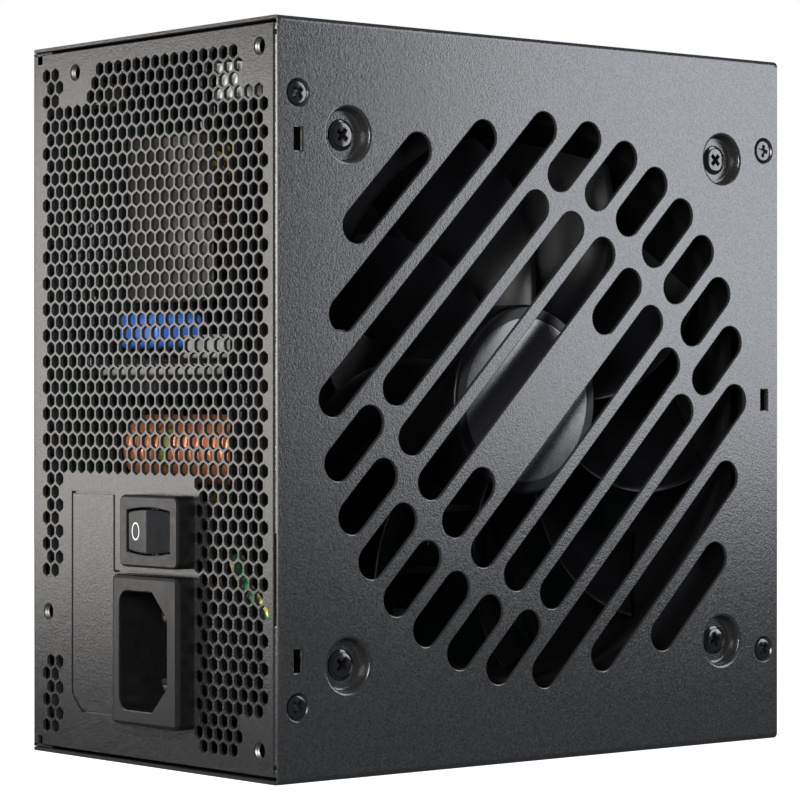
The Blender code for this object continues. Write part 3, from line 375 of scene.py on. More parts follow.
def fill(bm, loops, depth):
    """The flat face bounded by closed loops, of which the first is the outline and the rest are holes."""
    curve = stroke_curve("2D", [[(u, v, 0) for u, v in loop] for loop in loops], closed=True)
    curve.fill_mode = "BOTH"
    mesh = curve_mesh(curve)
    before = len(bm.verts)
    bm.from_mesh(mesh)
    bpy.data.meshes.remove(mesh)
    bm.verts.ensure_lookup_table()
    for vert in bm.verts[before:]:
        vert.co.z = -depth


# A shape is a closed row of (point, direction): growing the shape moves each point along its direction.


def grown(shape, by):
    """The points of a shape that has grown outward by a distance."""
    return [tuple(point + direction * by) for point, direction in shape]


def turns_round(steps):
    """Angles at even steps round a full turn."""
    return [2 * math.pi * index / steps for index in range(steps)]


def mitre(before, after):
    """How far a corner moves when both of its sides move out by 1. Both are unit normals."""
    return (before + after) / (1 + before.dot(after))


def side_normals(points):
    """The outward normals of the sides that end and start at each corner."""
    corners = [Vector(p) for p in points]
    area = sum(a.x * b.y - b.x * a.y for a, b in zip(corners, corners[1:] + corners[:1]))
    turn = 1 if area > 0 else -1
    sides = [(b - a).normalized() for a, b in zip(corners, corners[1:] + corners[:1])]
    normals = [Vector((s.y, -s.x)) * turn for s in sides]
    return corners, list(zip(normals[-1:] + normals[:-1], normals))


def polygon(points):
    """A shape with sharp corners."""
    corners, normals = side_normals(points)
    return [(corner, mitre(*pair)) for corner, pair in zip(corners, normals)]


def soft_polygon(points, radius, steps=1):
    """A convex polygon with round corners. The radius is one number, or one for each corner."""
    corners, normals = side_normals(points)
    radii = radius if isinstance(radius, (list, tuple)) else [radius] * len(points)
    shape = []
    for corner, (before, after), size in zip(corners, normals, radii):
        middle = corner - mitre(before, after) * size
        turn = before.angle_signed(after)
        for step in range(steps + 1):
            direction = before.copy()
            direction.rotate(Matrix.Rotation(-turn * step / steps, 2))
            shape.append((middle + direction * size, direction))
    return shape


def disc(middle, radius, steps=32):
    """A round shape."""
    directions = [Vector((math.cos(turn), math.sin(turn))) for turn in turns_round(steps)]
    return [(Vector(middle) + direction * radius, direction) for direction in directions]


def stadium(start, end, radius, steps=12):
    """A slot with round ends, between two end centres."""
    start, end = Vector(start), Vector(end)
    along = (end - start).normalized()
    across = Vector((along.y, -along.x))
    shape = []
    for middle, first in ((end, across), (start, -across)):
        for step in range(steps + 1):
            direction = first.copy()
            direction.rotate(Matrix.Rotation(math.pi * step / steps, 2))
            shape.append((middle + direction * radius, direction))
    return shape


def rectangle(middle, size):
    """The corners of a rectangle."""
    (u, v), (w, h) = middle, (size[0] / 2, size[1] / 2)
    return [(u - w, v - h), (u + w, v - h), (u + w, v + h), (u - w, v + h)]


def front_outline(node, less=0.0):
    """The rectangle that a node fills as seen from the rear panel's side, as X and Z, smaller by a width."""
    (x0, _, z0), (x1, _, z1) = span(node)
    return rectangle(((x0 + x1) / 2, (z0 + z1) / 2), (x1 - x0 - less, z1 - z0 - less))


def rod(radius, start, end, rounding, inner=0):
    """The profile of a rod or ring with broken edges, from start to end along its axis."""
    return [(inner, start), (radius - rounding, start), (radius, start + rounding), (radius, end - rounding),
            (radius - rounding, end), (inner, end)]


def line_outline(points, width):
    """The outline of an open line of straight strokes with the given width."""
    knots = [Vector(p) for p in points]
    runs = [(b - a).normalized() for a, b in zip(knots, knots[1:])]
    sides = [Vector((-r.y, r.x)) for r in runs]
    offsets = [sides[0], *[mitre(a, b) for a, b in zip(sides, sides[1:])], sides[-1]]
    left = [tuple(k + o * width / 2) for k, o in zip(knots, offsets)]
    right = [tuple(k - o * width / 2) for k, o in zip(knots, offsets)]
    return left + right[::-1]


def through(thickness, lip):
    """The wall of a punched hole, from the face down: how far the hole has grown, and the depth."""
    return [(lip, 0), (lip * 0.3, lip * 0.3), (0, lip), (0, thickness - lip), (lip, thickness)]


def edge(thickness, lip):
    """The same for the outline, which shrinks where a hole grows."""
    return [(-grow, depth) for grow, depth in through(thickness, lip)]


def wall_of(bm, shape, wall):
    """The wall that a shape makes as it grows and goes down, from (growth, depth) steps."""
    loft(bm, [[bm.verts.new((*point, -depth)) for point in grown(shape, grow)] for grow, depth in wall])


def plate(outline, cuts, thickness, lip):
    """A flat plate with rounded edges, its face at height 0: the cuts are (shape, wall, open or not)."""
    bm = bmesh.new()
    front, back = [], []
    for shape, wall, is_open in [(outline, edge(thickness, lip), True), *cuts]:
        wall_of(bm, shape, wall)
        front.append(grown(shape, wall[0][0]))
        last, floor_depth = wall[-1]
        if is_open:
            back.append(grown(shape, last))
        else:
            fill(bm, [grown(shape, last)], floor_depth)
    fill(bm, front, 0)
    fill(bm, back, thickness)
    bmesh.ops.remove_doubles(bm, verts=bm.verts, dist=WELD)
    return bm


class Fold:
    """Folded sheet: turns a distance along its outer face into a place and an outward normal."""

    STEPS = 6

    def __init__(self, corners, radius):
        self.radius = radius
        points = [Vector(c) for c in corners]
        self.runs, at = [], 0.0
        for index, (a, b) in enumerate(zip(points, points[1:])):
            along = (b - a).normalized()
            start = a + along * radius * (index > 0)
            end = b - along * radius * (index < len(points) - 2)
            self.runs.append((at, start, along, (end - start).length))
            at += (end - start).length + radius * math.pi / 2 * (index < len(points) - 2)
        self.length = at

    def spot(self, run, distance):
        """The distance along the sheet of a place on a run, measured from that run's first corner."""
        start = self.runs[run][0]
        return start + distance - self.radius * (run > 0)

    def at(self, along, height):
        """The place of a point of the flat sheet, whose height over the outer face is 0 or less."""
        run = max((r for r in self.runs if r[0] <= along + 1e-6), key=lambda r: r[0], default=self.runs[0])
        start, origin, direction, length = run
        outward = Vector((-direction.y, direction.x))
        over = along - start - length
        if over <= 1e-6 or run is self.runs[-1]:
            return origin + direction * (along - start) + outward * height
        turn = over / self.radius
        middle = origin + direction * length - outward * self.radius
        normal = outward * math.cos(turn) + direction * math.sin(turn)
        return middle + normal * (self.radius + height)

    def lines(self):
        """Where the flat sheet needs an edge, so that it can bend: one row of places for each fold."""
        arc = self.radius * math.pi / 2
        return [[start + length + arc * step / self.STEPS for step in range(self.STEPS + 1)]
                for start, _, _, length in self.runs[:-1]]


def reaches(face, low, high):
    """Whether a face of the flat sheet lies partly between two places along it."""
    places = [vert.co.x for vert in face.verts]
    return min(places) < high and max(places) > low


def folded(name, fold, bm, to_world, look):
    """Bends a flat sheet along its first direction. to_world turns (place, second direction) into a point."""
    for lines in fold.lines():
        bent = [face for face in bm.faces if reaches(face, lines[0], lines[-1])]
        geometry = list(dict.fromkeys(part for face in bent for part in (*face.verts, *face.edges, face)))
        for along in lines:
            geometry = bmesh.ops.bisect_plane(bm, geom=geometry, dist=1e-5, plane_co=(along, 0, 0),
                                              plane_no=(1, 0, 0))["geom"]
    for vert in bm.verts:
        u, v, height = vert.co
        vert.co = to_world(fold.at(u, height), v)
    return finish_mesh(name, bm, look, weighted=True)


def turned(name, profile, look, at, aim="+X", steps=48):
    """A solid turned round an axis, from (radius, height) points that start and end on it or close up."""
    bm = bmesh.new()
    rows = []
    for radius, height in profile:
        if radius < 1e-6:
            rows.append([bm.verts.new((0, 0, height))])
        else:
            ring = [(radius * math.cos(turn), radius * math.sin(turn), height) for turn in turns_round(steps)]
            rows.append([bm.verts.new(point) for point in ring])
    loft(bm, rows, closed=profile[0][0] > 1e-6)
    aims = {"+X": (math.pi / 2, "Y"), "+Y": (-math.pi / 2, "X"), "-Y": (math.pi / 2, "X"), "+Z": (0, "X")}
    turn, axis = aims[aim]
    bmesh.ops.rotate(bm, matrix=Matrix.Rotation(turn, 3, axis), verts=bm.verts)
    bmesh.ops.translate(bm, vec=Vector(at), verts=bm.verts)
    return finish_mesh(name, bm, look)


def cut_away(obj, *tools):
    """Cuts the tools from the piece, and removes them."""
    for tool in tools:
        modifier = obj.modifiers.new("cut", "BOOLEAN")
        modifier.object = tool
        modifier.solver = "EXACT"
    mesh = evaluated_mesh(obj)
    obj.modifiers.clear()
    obj.data = mesh
    mesh.set_sharp_from_angle(angle=SMOOTH_ANGLE)
    for tool in tools:
        bpy.data.objects.remove(tool)


def tube(name, points, diameter, look, resolution=3):
    """A wire through the points, as a mesh."""
    curve = stroke_curve("3D", [[Vector(place) * MM for place in points]], closed=False)
    curve.bevel_depth = diameter / 2 * MM
    curve.bevel_resolution = resolution
    curve.use_fill_caps = True
    mesh = curve_mesh(curve)
    bm = bmesh.new()
    bm.from_mesh(mesh)
    bpy.data.meshes.remove(mesh)
    bmesh.ops.scale(bm, vec=(1 / MM,) * 3, verts=bm.verts)
    return finish_mesh(name, bm, look)


def soft_box(name, low, high, radius, look, steps=3):
    """A box with rounded edges."""
    bm = bmesh.new()
    rounded_block(bm, Vector(low), Vector(high), radius, steps)
    return finish_mesh(name, bm, look)


# ---------------------------------------------------------------- case


def honeycomb():
    """The middles of the rear panel's cells, as X and Z."""
    first_x, first_z = FIRST_CELL
    places = []
    for row in range(CELL_ROWS):
        z, odd = first_z - CELL_ROW * row, row % 2
        for column in range(24 - odd):
            x = first_x + CELL_PITCH * (column + 0.5 * odd)
            on_plate = row >= PLATE_TOP_ROW and PLATE_LEFT < x < PLATE_RIGHT
            if not on_plate and not any(near_hole(x, z, hole) for hole in CASE_HOLES):
                places.append((x, z))
    return places


def near_hole(x, z, hole):
    """Whether a cell would be in the plain metal round a case hole."""
    across, up = abs(x - hole[0]), abs(z - hole[1])
    reach = 7.0 if hole[0] > 0 else 6.3
    return across + 0.2 * up < reach and up < 7.7


def cell(middle):
    """A hexagon that stands on a point, with slightly round corners."""
    x, z = middle
    half, tip = CELL_HALF_WIDTH, CELL_HALF_HEIGHT
    side = tip / 2
    points = [(x, z - tip), (x + half, z - side), (x + half, z + side), (x, z + tip), (x - half, z + side),
              (x - half, z - side)]
    return soft_polygon(points, CELL_CORNER)


def moved(shape, to_flat):
    """The shape in the flat sheet's own directions. to_flat turns a panel's place into the sheet's."""
    origin = Vector(to_flat((0.0, 0.0)))
    return [(Vector(to_flat(point)), Vector(to_flat(direction)) - origin) for point, direction in shape]


def nameplate_lines():
    """The thin grooves on the rear panel that frame a plain field beside the inlet."""
    left, right, low, high, corner = -27.8, -12.5, 9.75, 55.6, 3.5
    switch_low, width = 39.5, 0.5
    frame_line = [(right, switch_low), (right, high), (left, high), (left, low + corner),
                  (left + corner, low), (-7.8, low)]
    branch = [(right + 0.35, switch_low + 0.1), (16.8, switch_low + 0.1)]
    return [line_outline(frame_line, width), line_outline(branch, 0.9 * width)]


def tray():
    """The tray: rear panel, base plate, front panel and two ears, folded from one sheet."""
    ear_x = FAN_SIDE - SHEET - 0.06
    corners = [(ear_x, REAR + EAR), (ear_x, REAR), (PLATE_SIDE, REAR), (PLATE_SIDE, FRONT), (ear_x, FRONT),
               (ear_x, FRONT - EAR)]
    fold = Fold(corners, TRAY_BEND)
    low, high = SIDE_GAP, HEIGHT - SIDE_GAP

    def rear(place):
        return fold.spot(1, ear_x - place[0]), place[1]

    def front(place):
        return fold.spot(3, place[0] - PLATE_SIDE), place[1]

    rear_shapes = [cell(middle) for middle in honeycomb()]
    rear_shapes += [disc(place, HOLE_RADIUS) for place in CASE_HOLES]
    rear_shapes += [polygon(rectangle((-40.0, z), NOTCH_SIZE)) for z in (low + 0.9, high - 0.9)]
    overlap = 1.9
    rear_shapes += [polygon(front_outline(node, overlap)) for node in ("inlet_housing", "switch_housing")]
    shapes = [moved(shape, rear) for shape in rear_shapes]
    fold_start, fold_width = fold.runs[0][3], TRAY_BEND * math.pi / 2
    corner_cut = 0.8 * fold_width
    for z, size in ((40.0, (0.8, 18.0)), (3.35, (corner_cut, 0.9)), (146.65, (corner_cut, 0.9))):
        shapes.append(polygon(rectangle((fold_start + fold_width * 0.55, z), size)))
    for y, z in TAB_SLOTS:
        along = EAR + REAR - y if y < 0 else fold.spot(4, FRONT - y)
        shapes.append(polygon(rectangle((along, z), (3.4, 6.2))))
    shapes += [moved(polygon(header_outline(header, 0.06)), front) for header in header_nodes()]
    cuts = [(shape, through(SHEET, TRAY_LIP), True) for shape in shapes]
    groove = [(0.05, 0), (-0.02, 0.6)]
    cuts += [(moved(polygon(line), rear), groove, False) for line in nameplate_lines()]
    outline = polygon([(0, low), (fold.length, low), (fold.length, high), (0, high)])
    bm = plate(outline, cuts, SHEET, TRAY_LIP)
    sheet = folded("tray_sheet", fold, bm, lambda place, z: (place.x, place.y, z), "powder_coat")
    fixed(sheet, "case_paint", "case", "base_tray")
    seam_strips(ear_x)


def seam_strips(ear_x):
    """Dark strips behind the seam between tray and cover, along the base plate and front: painted shade,
    which keeps light from showing through the seam.
    """
    thick, inner_x = 0.54, -36
    sides = (("side", (PLATE_SIDE + 0.1, REAR + 0.3), (inner_x, FRONT - 1)),
             ("front", (inner_x, FRONT - 7), (ear_x - 1, FRONT - 0.9)))
    for end, z in (("low", 0.86), ("high", HEIGHT - 1.4)):
        for side, (x0, y0), (x1, y1) in sides:
            low, high = (x0, y0, z), (x1, y1, z + thick)
            # A dark strip that paints the shade in the seam.
            fixed(soft_box(f"seam_shade_strip_{side}_{end}", low, high, 0.1, "black_plastic"), "black_plastic")


def header_nodes():
    """The output sockets in the front panel."""
    return [name for name in sorted(frame["nodes"]) if "_socket_" in name or name == "graphics_socket"]


def header_outline(node, margin):
    """The front outline of an output socket with its latch block, as X and Z."""
    (x0, _, z0), (x1, _, z1) = span(node)
    half, middle = LATCH_HALF + margin, (z0 + z1) / 2
    x0, x1, z0, z1 = x0 - margin, x1 + margin, z0 - margin, z1 + margin
    body = x1 - LATCH
    return [(x0, z0), (body, z0), (body, middle - half), (x1, middle - half), (x1, middle + half),
            (body, middle + half), (body, z1), (x0, z1)]


def slot_spans(row):
    """The spans of the slots in a row of the fan side's pattern, between their end centres."""
    if row == 0:
        return [(side * a, side * b) for a, b in MIDDLE_ROW_SLOTS for side in (1, -1)]
    if abs(row) == LAST_ROW:
        return [(-LAST_ROW_REACH, LAST_ROW_REACH)]
    reach = math.sqrt(SLOT_CIRCLE**2 - (row * ROW_PITCH) ** 2)
    if abs(row) in SINGLE_ROWS:
        return [(-reach, reach)]
    web = WEB if abs(row) < 3 else 2.8
    inner = reach - SIDE_SLOT - 2 * SLOT_RADIUS - web
    return [(-inner, inner), (reach - SIDE_SLOT, reach), (-reach, SIDE_SLOT - reach)]


def dimple_wall():
    """The sheet pressed in round a fan screw, as radius and depth."""
    depth = DIMPLE_DEPTH
    shoulder = [(6.0, 0), (5.75, 0.03), (5.55, 0.13), (5.4, 0.3), (5.3, 0.55), (5.25, 0.9)]
    floor_edge = [(5.1, depth - 0.35), (5.0, depth - 0.12), (4.8, depth - 0.02), (4.6, depth), (3.2, depth)]
    under = [(3.1, depth + 0.08), (2.95, depth + SHEET), (5.0, depth + SHEET), (5.7, depth), (6.0, 1.5),
             (6.4, SHEET)]
    return shoulder + floor_edge + under


def cover():
    """The cover: the slotted fan side between two plain sides, folded from one sheet."""
    side_end = PLATE_SIDE + 0.7
    fold = Fold([(side_end, HEIGHT), (FAN_SIDE, HEIGHT), (FAN_SIDE, 0), (side_end, 0)], COVER_BEND)

    def fan_side(place):
        return fold.spot(1, HEIGHT - place[1]), place[0]

    along, across = Vector((1, 1)).normalized(), Vector((-1, 1)).normalized()
    middle = Vector((FAN_AXIS.y, FAN_AXIS.z))
    shapes = []
    for row in range(-LAST_ROW, LAST_ROW + 1):
        line = middle + across * row * ROW_PITCH
        for ends in slot_spans(row):
            shapes.append(stadium(line + along * min(ends), line + along * max(ends), SLOT_RADIUS))
    shapes += [polygon(rectangle(place, TAB_SLOT_SIZE)) for place in TAB_SLOTS]
    cuts = [(moved(shape, fan_side), through(SHEET, COVER_LIP), True) for shape in shapes]
    sink = [(2.95, 0), (2.8, 0.05), (2.7, 0.25), (2.1, SHEET)]
    for stem, wall, steps in (("fan_screw", dimple_wall(), 48), ("cover_screw", sink, 40)):
        for node in numbered(stem):
            place = centre(node)
            cuts.append((moved(disc((place.y, place.z), 0, steps), fan_side), wall, True))
    outline = polygon([(0, REAR), (fold.length, REAR), (fold.length, FRONT), (0, FRONT)])
    bm = plate(outline, cuts, SHEET, 0.12)
    sheet = folded("cover_sheet", fold, bm, lambda place, y: (place.x, y, place.y), "powder_coat")
    fixed(sheet, "case_paint", "case", "cover")


def numbered(stem):
    """The CAD nodes that share a name and have a number each."""
    return [name for name in sorted(frame["nodes"]) if name.startswith(stem + "_")]


def case_threads():
    """The threaded collars behind the four case holes: a bright thread, cut through the paint."""
    pitch, turns, outer, behind = 0.55, 2, 1.68, 0.82
    bore = []
    for turn in range(turns):
        bore += [(outer, -0.25 - turn * pitch), (1.42, -0.25 - (turn + 0.5) * pitch)]
    depth = 0.3 + turns * pitch
    profile = [(2.9, -behind), (2.9, -depth), (1.6, -depth), *bore[::-1], (1.7, -0.08), (1.71, -behind)]
    for index, (x, z) in enumerate(CASE_HOLES, 1):
        collar = turned(f"case_thread_{index}", profile, "cut_steel", (x, REAR, z), "-Y", steps=40)
        fixed(collar, "bright_steel")


def standoffs():
    """The six-sided posts under the main board's screws."""
    gap = 0.05
    top = span("main_board")[0].x - gap
    length = top - PLATE_SIDE - SHEET + gap
    profile = [(0, 0), (3.0, 0), (3.0, -length + 0.6), (3.6, -length), (0, -length)]
    for index, node in enumerate(numbered("board_screw"), 1):
        place = centre(node)
        post = turned(f"standoff_{index}", profile, "bright_steel", (top, place.y, place.z), steps=6)
        fixed(post, "bright_steel")


# ---------------------------------------------------------------- screws


def phillips(at, size, turn):
    """A tapered cross that cuts the recess of a screw, its top a little above the head."""
    depth, arm = 1.6, 0.16 * size
    bm = bmesh.new()
    rows = []
    for reach, half, height in ((size / 2, arm, 0.05), (0.45 * size / 2, 0.7 * arm, -depth)):
        points = []
        for quarter in range(4):
            spin = Matrix.Rotation(quarter * math.pi / 2 + turn, 2)
            points += [spin @ Vector(p) for p in ((reach, -half), (reach, half), (half, half))]
        rows.append([bm.verts.new((*p, height)) for p in points])
    close_up(bm, rows)
    bmesh.ops.rotate(bm, matrix=Matrix.Rotation(math.pi / 2, 3, "Y"), verts=bm.verts)
    bmesh.ops.translate(bm, vec=Vector(at), verts=bm.verts)
    return finish_mesh("recess", bm, "screw_black", smooth=False)


def screws():
    """Screws with a cross recess: four sunk in the cover, and four in the dimples, which hold the fan."""
    shank = [(1.5, -1.7), (1.5, -6.0), (0.9, -6.6), (0, -6.6)]
    flush = [(0, 0), (2.0, 0), (2.15, -0.04), (2.26, -0.12), (2.3, -0.3), (2.1, -0.6), *shank]
    pan = [(0, 0), (2.3, 0), (2.42, -0.04), (2.5, -0.28), (2.6, -0.34), (2.98, -0.36), (3.1, -0.44),
           (3.12, -0.6), (1.5, -0.66), *shank]
    kinds = (("cover_screw", 0.12, flush, 2.8), ("fan_screw", DIMPLE_DEPTH - 0.62, pan, 3.1))
    for stem, drop, shape, cross in kinds:
        for index, node in enumerate(numbered(stem), 1):
            place = centre(node)
            at = (FAN_SIDE - drop, place.y, place.z)
            head = turned(f"{stem}_head_{index}", shape, "screw_black", at)
            cut_away(head, phillips(at, cross, random.uniform(0, math.pi / 2)))
            fixed(head, "screw_black", "case", node)


# ---------------------------------------------------------------- mains inlet and switch


def inlet():
    """The inlet: a flange that stands out of the panel, with the socket sunk in it."""
    face = span("inlet_housing")[0].y
    blades = ("inlet_blade_line", "inlet_blade_neutral", "inlet_blade_earth")
    middle_z = (span(blades[1])[0].z + span(blades[0])[1].z) / 2
    earth_x = centre(blades[2]).x
    half_height, chamfer, flat_corner = 12.05, 5.1, 0.4
    low_x, high_x = earth_x - 10.15, earth_x + 6.15
    low_z, high_z = middle_z - half_height, middle_z + half_height
    points = [(low_x, low_z), (high_x - chamfer, low_z), (high_x, low_z + chamfer),
              (high_x, high_z - chamfer), (high_x - chamfer, high_z), (low_x, high_z)]
    opening = soft_polygon(points, [2.5, *[flat_corner] * 4, 2.5], steps=5)
    well = [(0.3, 0), (0.08, 0.08), (0, 0.3), (0, 16.0)]
    housing("inlet_shell", "inlet_housing", (1.2, 5), 0.8, 2.1, opening, well)
    for index, z in enumerate((31.0, 17.1), 1):
        low, high = (high_x - 1.8, face + 0.5, z - 0.7), (high_x + 0.2, face + 6, z + 0.7)
        fixed(soft_box(f"inlet_rib_{index}", low, high, 0.2, "black_plastic"), "black_plastic")
    for node in blades:
        low, high = span(node)
        # The contacts are darkened: painted shade for the deep well they sit in.
        blade = soft_box(f"{node}_contact", (low.x, face + 7.5, low.z), high, 0.35, "shaded_contact")
        fixed(blade, "brass", "case", node)


def housing(name, node, corner, edge_round, inset, opening, well):
    """A moulded body that stands out of the rear panel, with a well that ends in a floor.

    The corner is its radius and its number of steps, and the part behind the panel is smaller by the inset.
    """
    (_, face, _), (_, back, _) = span(node)
    stand = REAR - face
    outline = soft_polygon(front_outline(node), *corner)
    outside = [(-edge_round, 0), (-0.3 * edge_round, 0.3 * edge_round), (0, edge_round), (0, stand),
               (-inset, stand), (-inset, back - face)]
    bm = bmesh.new()
    wall_of(bm, outline, outside)
    wall_of(bm, opening, well)
    fill(bm, [grown(outline, outside[0][0]), grown(opening, well[0][0])], 0)
    fill(bm, [grown(outline, outside[-1][0])], outside[-1][1])
    fill(bm, [grown(opening, well[-1][0])], well[-1][1])
    for vert in bm.verts:
        x, z, height = vert.co
        vert.co = (x, face - height, z)
    fixed(finish_mesh(name, bm, "black_plastic", weighted=True), "black_plastic", "case", node)


def barrel(half_length, half_width, bulge, steps=14):
    """The outline of the rocker from the front: straight ends, and long sides that bow out."""
    middle = centre("switch_housing")
    stations = [-1 + 2 * index / steps for index in range(steps + 1)]
    side = [(half_length * along, half_width + bulge * (1 - along * along)) for along in stations]
    return [(middle.x + u, middle.z + v) for u, v in [(u, -v) for u, v in side] + side[::-1]]


ROCKER_HALF, ROCKER_WIDTH, ROCKER_BULGE, ROCKER_RIDGE = 6.95, 3.85, 0.65, 3.3
ROCKER_SLOPE, ROCKER_TILT = math.radians(13), math.radians(7)


def switch():
    """The switch: its housing with the bezel, and the rocker in it."""
    gap_long, gap_wide = 0.42, 0.3
    opening = polygon(barrel(ROCKER_HALF + gap_long, ROCKER_WIDTH + gap_wide, ROCKER_BULGE))
    well = [(0.25, 0), (0.06, 0.06), (0, 0.25), (0, 4.6)]
    housing("switch_shell", "switch_housing", (1.5, 6), 0.5, 1.6, opening, well)
    rocker()


def rocker():
    """The rocker: two facets that meet in a ridge, with a round pivot, tilted with one end pressed in."""
    joint = next(j for j in frame["joints"] if j["child"] == "rocker")
    pivot = Vector(joint["pos_m"]) / MM
    bm = bmesh.new()
    rows = []
    round_edge = 0.35
    for station in (-1, -0.96, -0.6, -0.3, -0.06, 0, 0.06, 0.3, 0.6, 0.96, 1):
        u = station * ROCKER_HALF
        drop = round_edge * 0.9 if abs(station) == 1 else 0
        top = ROCKER_RIDGE - abs(u) * math.tan(ROCKER_SLOPE) - drop - (0.06 if station == 0 else 0)
        half = ROCKER_WIDTH + ROCKER_BULGE * (1 - station * station)
        near = round_edge * 0.3
        side = [(-half, -0.6), (-half, top - round_edge), (-half + near, top - near),
                (-half + round_edge, top)]
        section = side + [(0, top)] + [(-w, h) for w, h in side[::-1]]
        rows.append([bm.verts.new((u, -h, w)) for w, h in section])
    close_up(bm, rows)
    shape = Matrix.Translation(pivot) @ Matrix.Rotation(ROCKER_TILT, 4, "Z")
    bmesh.ops.transform(bm, matrix=shape, verts=bm.verts)
    body = finish_mesh("rocker_body", bm, "rocker_plastic", weighted=True)
    fixed(body, "black_plastic", "rocker", "switch_rocker")
    axle = 5.4
    pin = [(0, axle), (1.2, axle), (1.2, -axle), (0, -axle)]
    fixed(turned("rocker_pin", pin, "black_plastic", pivot, "+Z", 24), "black_plastic", "rocker")
    off_mark(shape)


def off_mark(shape):
    """The plain ring that marks the off side of a mains switch, printed on the facet."""
    u, half_width, half_height = -4.0, 1.38, 1.68
    height = ROCKER_RIDGE - abs(u) * math.tan(ROCKER_SLOPE) + 0.02
    bm = bmesh.new()
    rows = []
    for grow, lift in ((0.17, 0), (0.12, 0.03), (-0.12, 0.03), (-0.17, 0)):
        ring = [((half_width + grow) * math.cos(turn), -lift, (half_height + grow) * math.sin(turn))
                for turn in turns_round(48)]
        rows.append([bm.verts.new(point) for point in ring])
    loft(bm, rows, closed=True)
    facet = Matrix.Translation((u, -height, 0)) @ Matrix.Rotation(-ROCKER_SLOPE, 4, "Z")
    bmesh.ops.transform(bm, matrix=shape @ facet, verts=bm.verts)
    fixed(finish_mesh("rocker_off_mark", bm, "white_ink"), "black_plastic", "rocker")


# ---------------------------------------------------------------- fan

BLADES, HUB_RADIUS, BLADE_TIP = 9, 20.0, 56.2
BLADE_TURN, BLADE_SWEEP, BLADE_CAMBER, BLADE_THICKNESS = math.radians(27), math.radians(24), 2.0, 1.4


def onto_fan(bm, x):
    """Turns a body drawn flat, with its height as depth along X, so that it looks to +X on the fan's axis."""
    for vert in bm.verts:
        y, z, height = vert.co
        vert.co = (x + height, y + FAN_AXIS.y, z + FAN_AXIS.z)


def fan_frame():
    """The fan's frame: two square flanges, the duct between them, and four arms that carry the motor."""
    (x0, y0, _), (x1, _, _) = span("fan_frame")
    half, flange, bore, lip, motor = -y0, 4.0, 57.8, 0.4, 17.9
    outline = soft_polygon(rectangle((0, 0), (2 * half, 2 * half)), 5.0, steps=6)
    cuts = [(disc((0, 0), bore, 96), [(1.2, 0), (0.35, 0.35), (0, 1.2), (0, flange)], True)]
    for node in numbered("fan_screw"):
        place = centre(node) - FAN_AXIS
        cuts.append((disc((place.y, place.z), 2.2, 24), through(flange, lip), True))
    for name, face, nodes in (("front", x1, ["fan_frame"]), ("back", x0 + flange, [])):
        bm = plate(outline, cuts, flange, lip)
        onto_fan(bm, face)
        piece = finish_mesh(f"fan_flange_{name}", bm, "frame_plastic", weighted=True)
        fixed(piece, "fan_plastic", "case", *nodes)
    depth = x1 - x0 - 2 * flange
    duct = [(bore, 0), (bore + 1.6, 0), (bore + 1.6, depth), (bore, depth)]
    at = (x0 + flange, 0, FAN_AXIS.z)
    fixed(turned("fan_duct", duct, "frame_plastic", at, steps=96), "fan_plastic")
    seat = [(0, 0), (18.6, 0), (19, 0.4), (19, 2.3), (5.5, 2.3), (5.5, 17), (4.2, 17), (4.2, 2.6), (0, 2.6)]
    fixed(turned("fan_motor_seat", seat, "frame_plastic", (x0, 0, FAN_AXIS.z), steps=64), "fan_plastic")
    for index in range(4):
        bm = bmesh.new()
        rounded_block(bm, Vector((motor, -2.5, -3.4)), Vector((bore + 0.4, 2.5, -0.1)), 0.6, 3)
        turn = Matrix.Rotation(math.radians(25 + 90 * index), 3, "Z")
        bmesh.ops.rotate(bm, matrix=turn, verts=bm.verts)
        onto_fan(bm, x0 + 3.5)
        fixed(finish_mesh(f"fan_arm_{index + 1}", bm, "frame_plastic", weighted=True), "fan_plastic")


def blade_spot(out, back, turn):
    """A place on a blade's middle surface: out from hub to tip, back from the front edge to the rear edge."""
    (low, _, _), (high, _, _) = span("fan_rotor")
    radius = HUB_RADIUS - 0.6 + (BLADE_TIP - HUB_RADIUS + 0.6) * out
    angle = turn + BLADE_SWEEP * out**1.5 + BLADE_TURN * back * (1.25 - 0.35 * out)
    depth = high - 1.2 - (high - low - 2.4) * back - BLADE_CAMBER * math.sin(math.pi * back) * out
    return Vector((depth, radius * math.cos(angle), radius * math.sin(angle)))


def fan_blade(index):
    """One curved blade with a round front edge and a thin rear edge."""
    turn = index * 2 * math.pi / BLADES
    radial, chord, step = 14, 14, 0.001
    bm = bmesh.new()
    rows = []
    for i in range(radial + 1):
        out = i / radial
        upper, lower = [], []
        for j in range(chord + 1):
            back = 0.5 - 0.5 * math.cos(math.pi * j / chord)
            middle = blade_spot(out, back, turn)
            across = blade_spot(out, back + step, turn) - middle
            along = blade_spot(out + step, back, turn) - middle
            normal = across.cross(along).normalized()
            shape = 0.12 + 0.88 * math.sqrt(max(0, math.sin(math.pi * back**0.75)))
            half = BLADE_THICKNESS / 2 * shape
            upper.append(middle + normal * half)
            lower.append(middle - normal * half)
        rows.append([bm.verts.new(p) for p in upper + lower[::-1]])
    close_up(bm, rows)
    bmesh.ops.translate(bm, vec=FAN_AXIS, verts=bm.verts)
    fixed(finish_mesh(f"fan_blade_{index + 1}", bm, "fan_plastic"), "fan_plastic", "rotor")


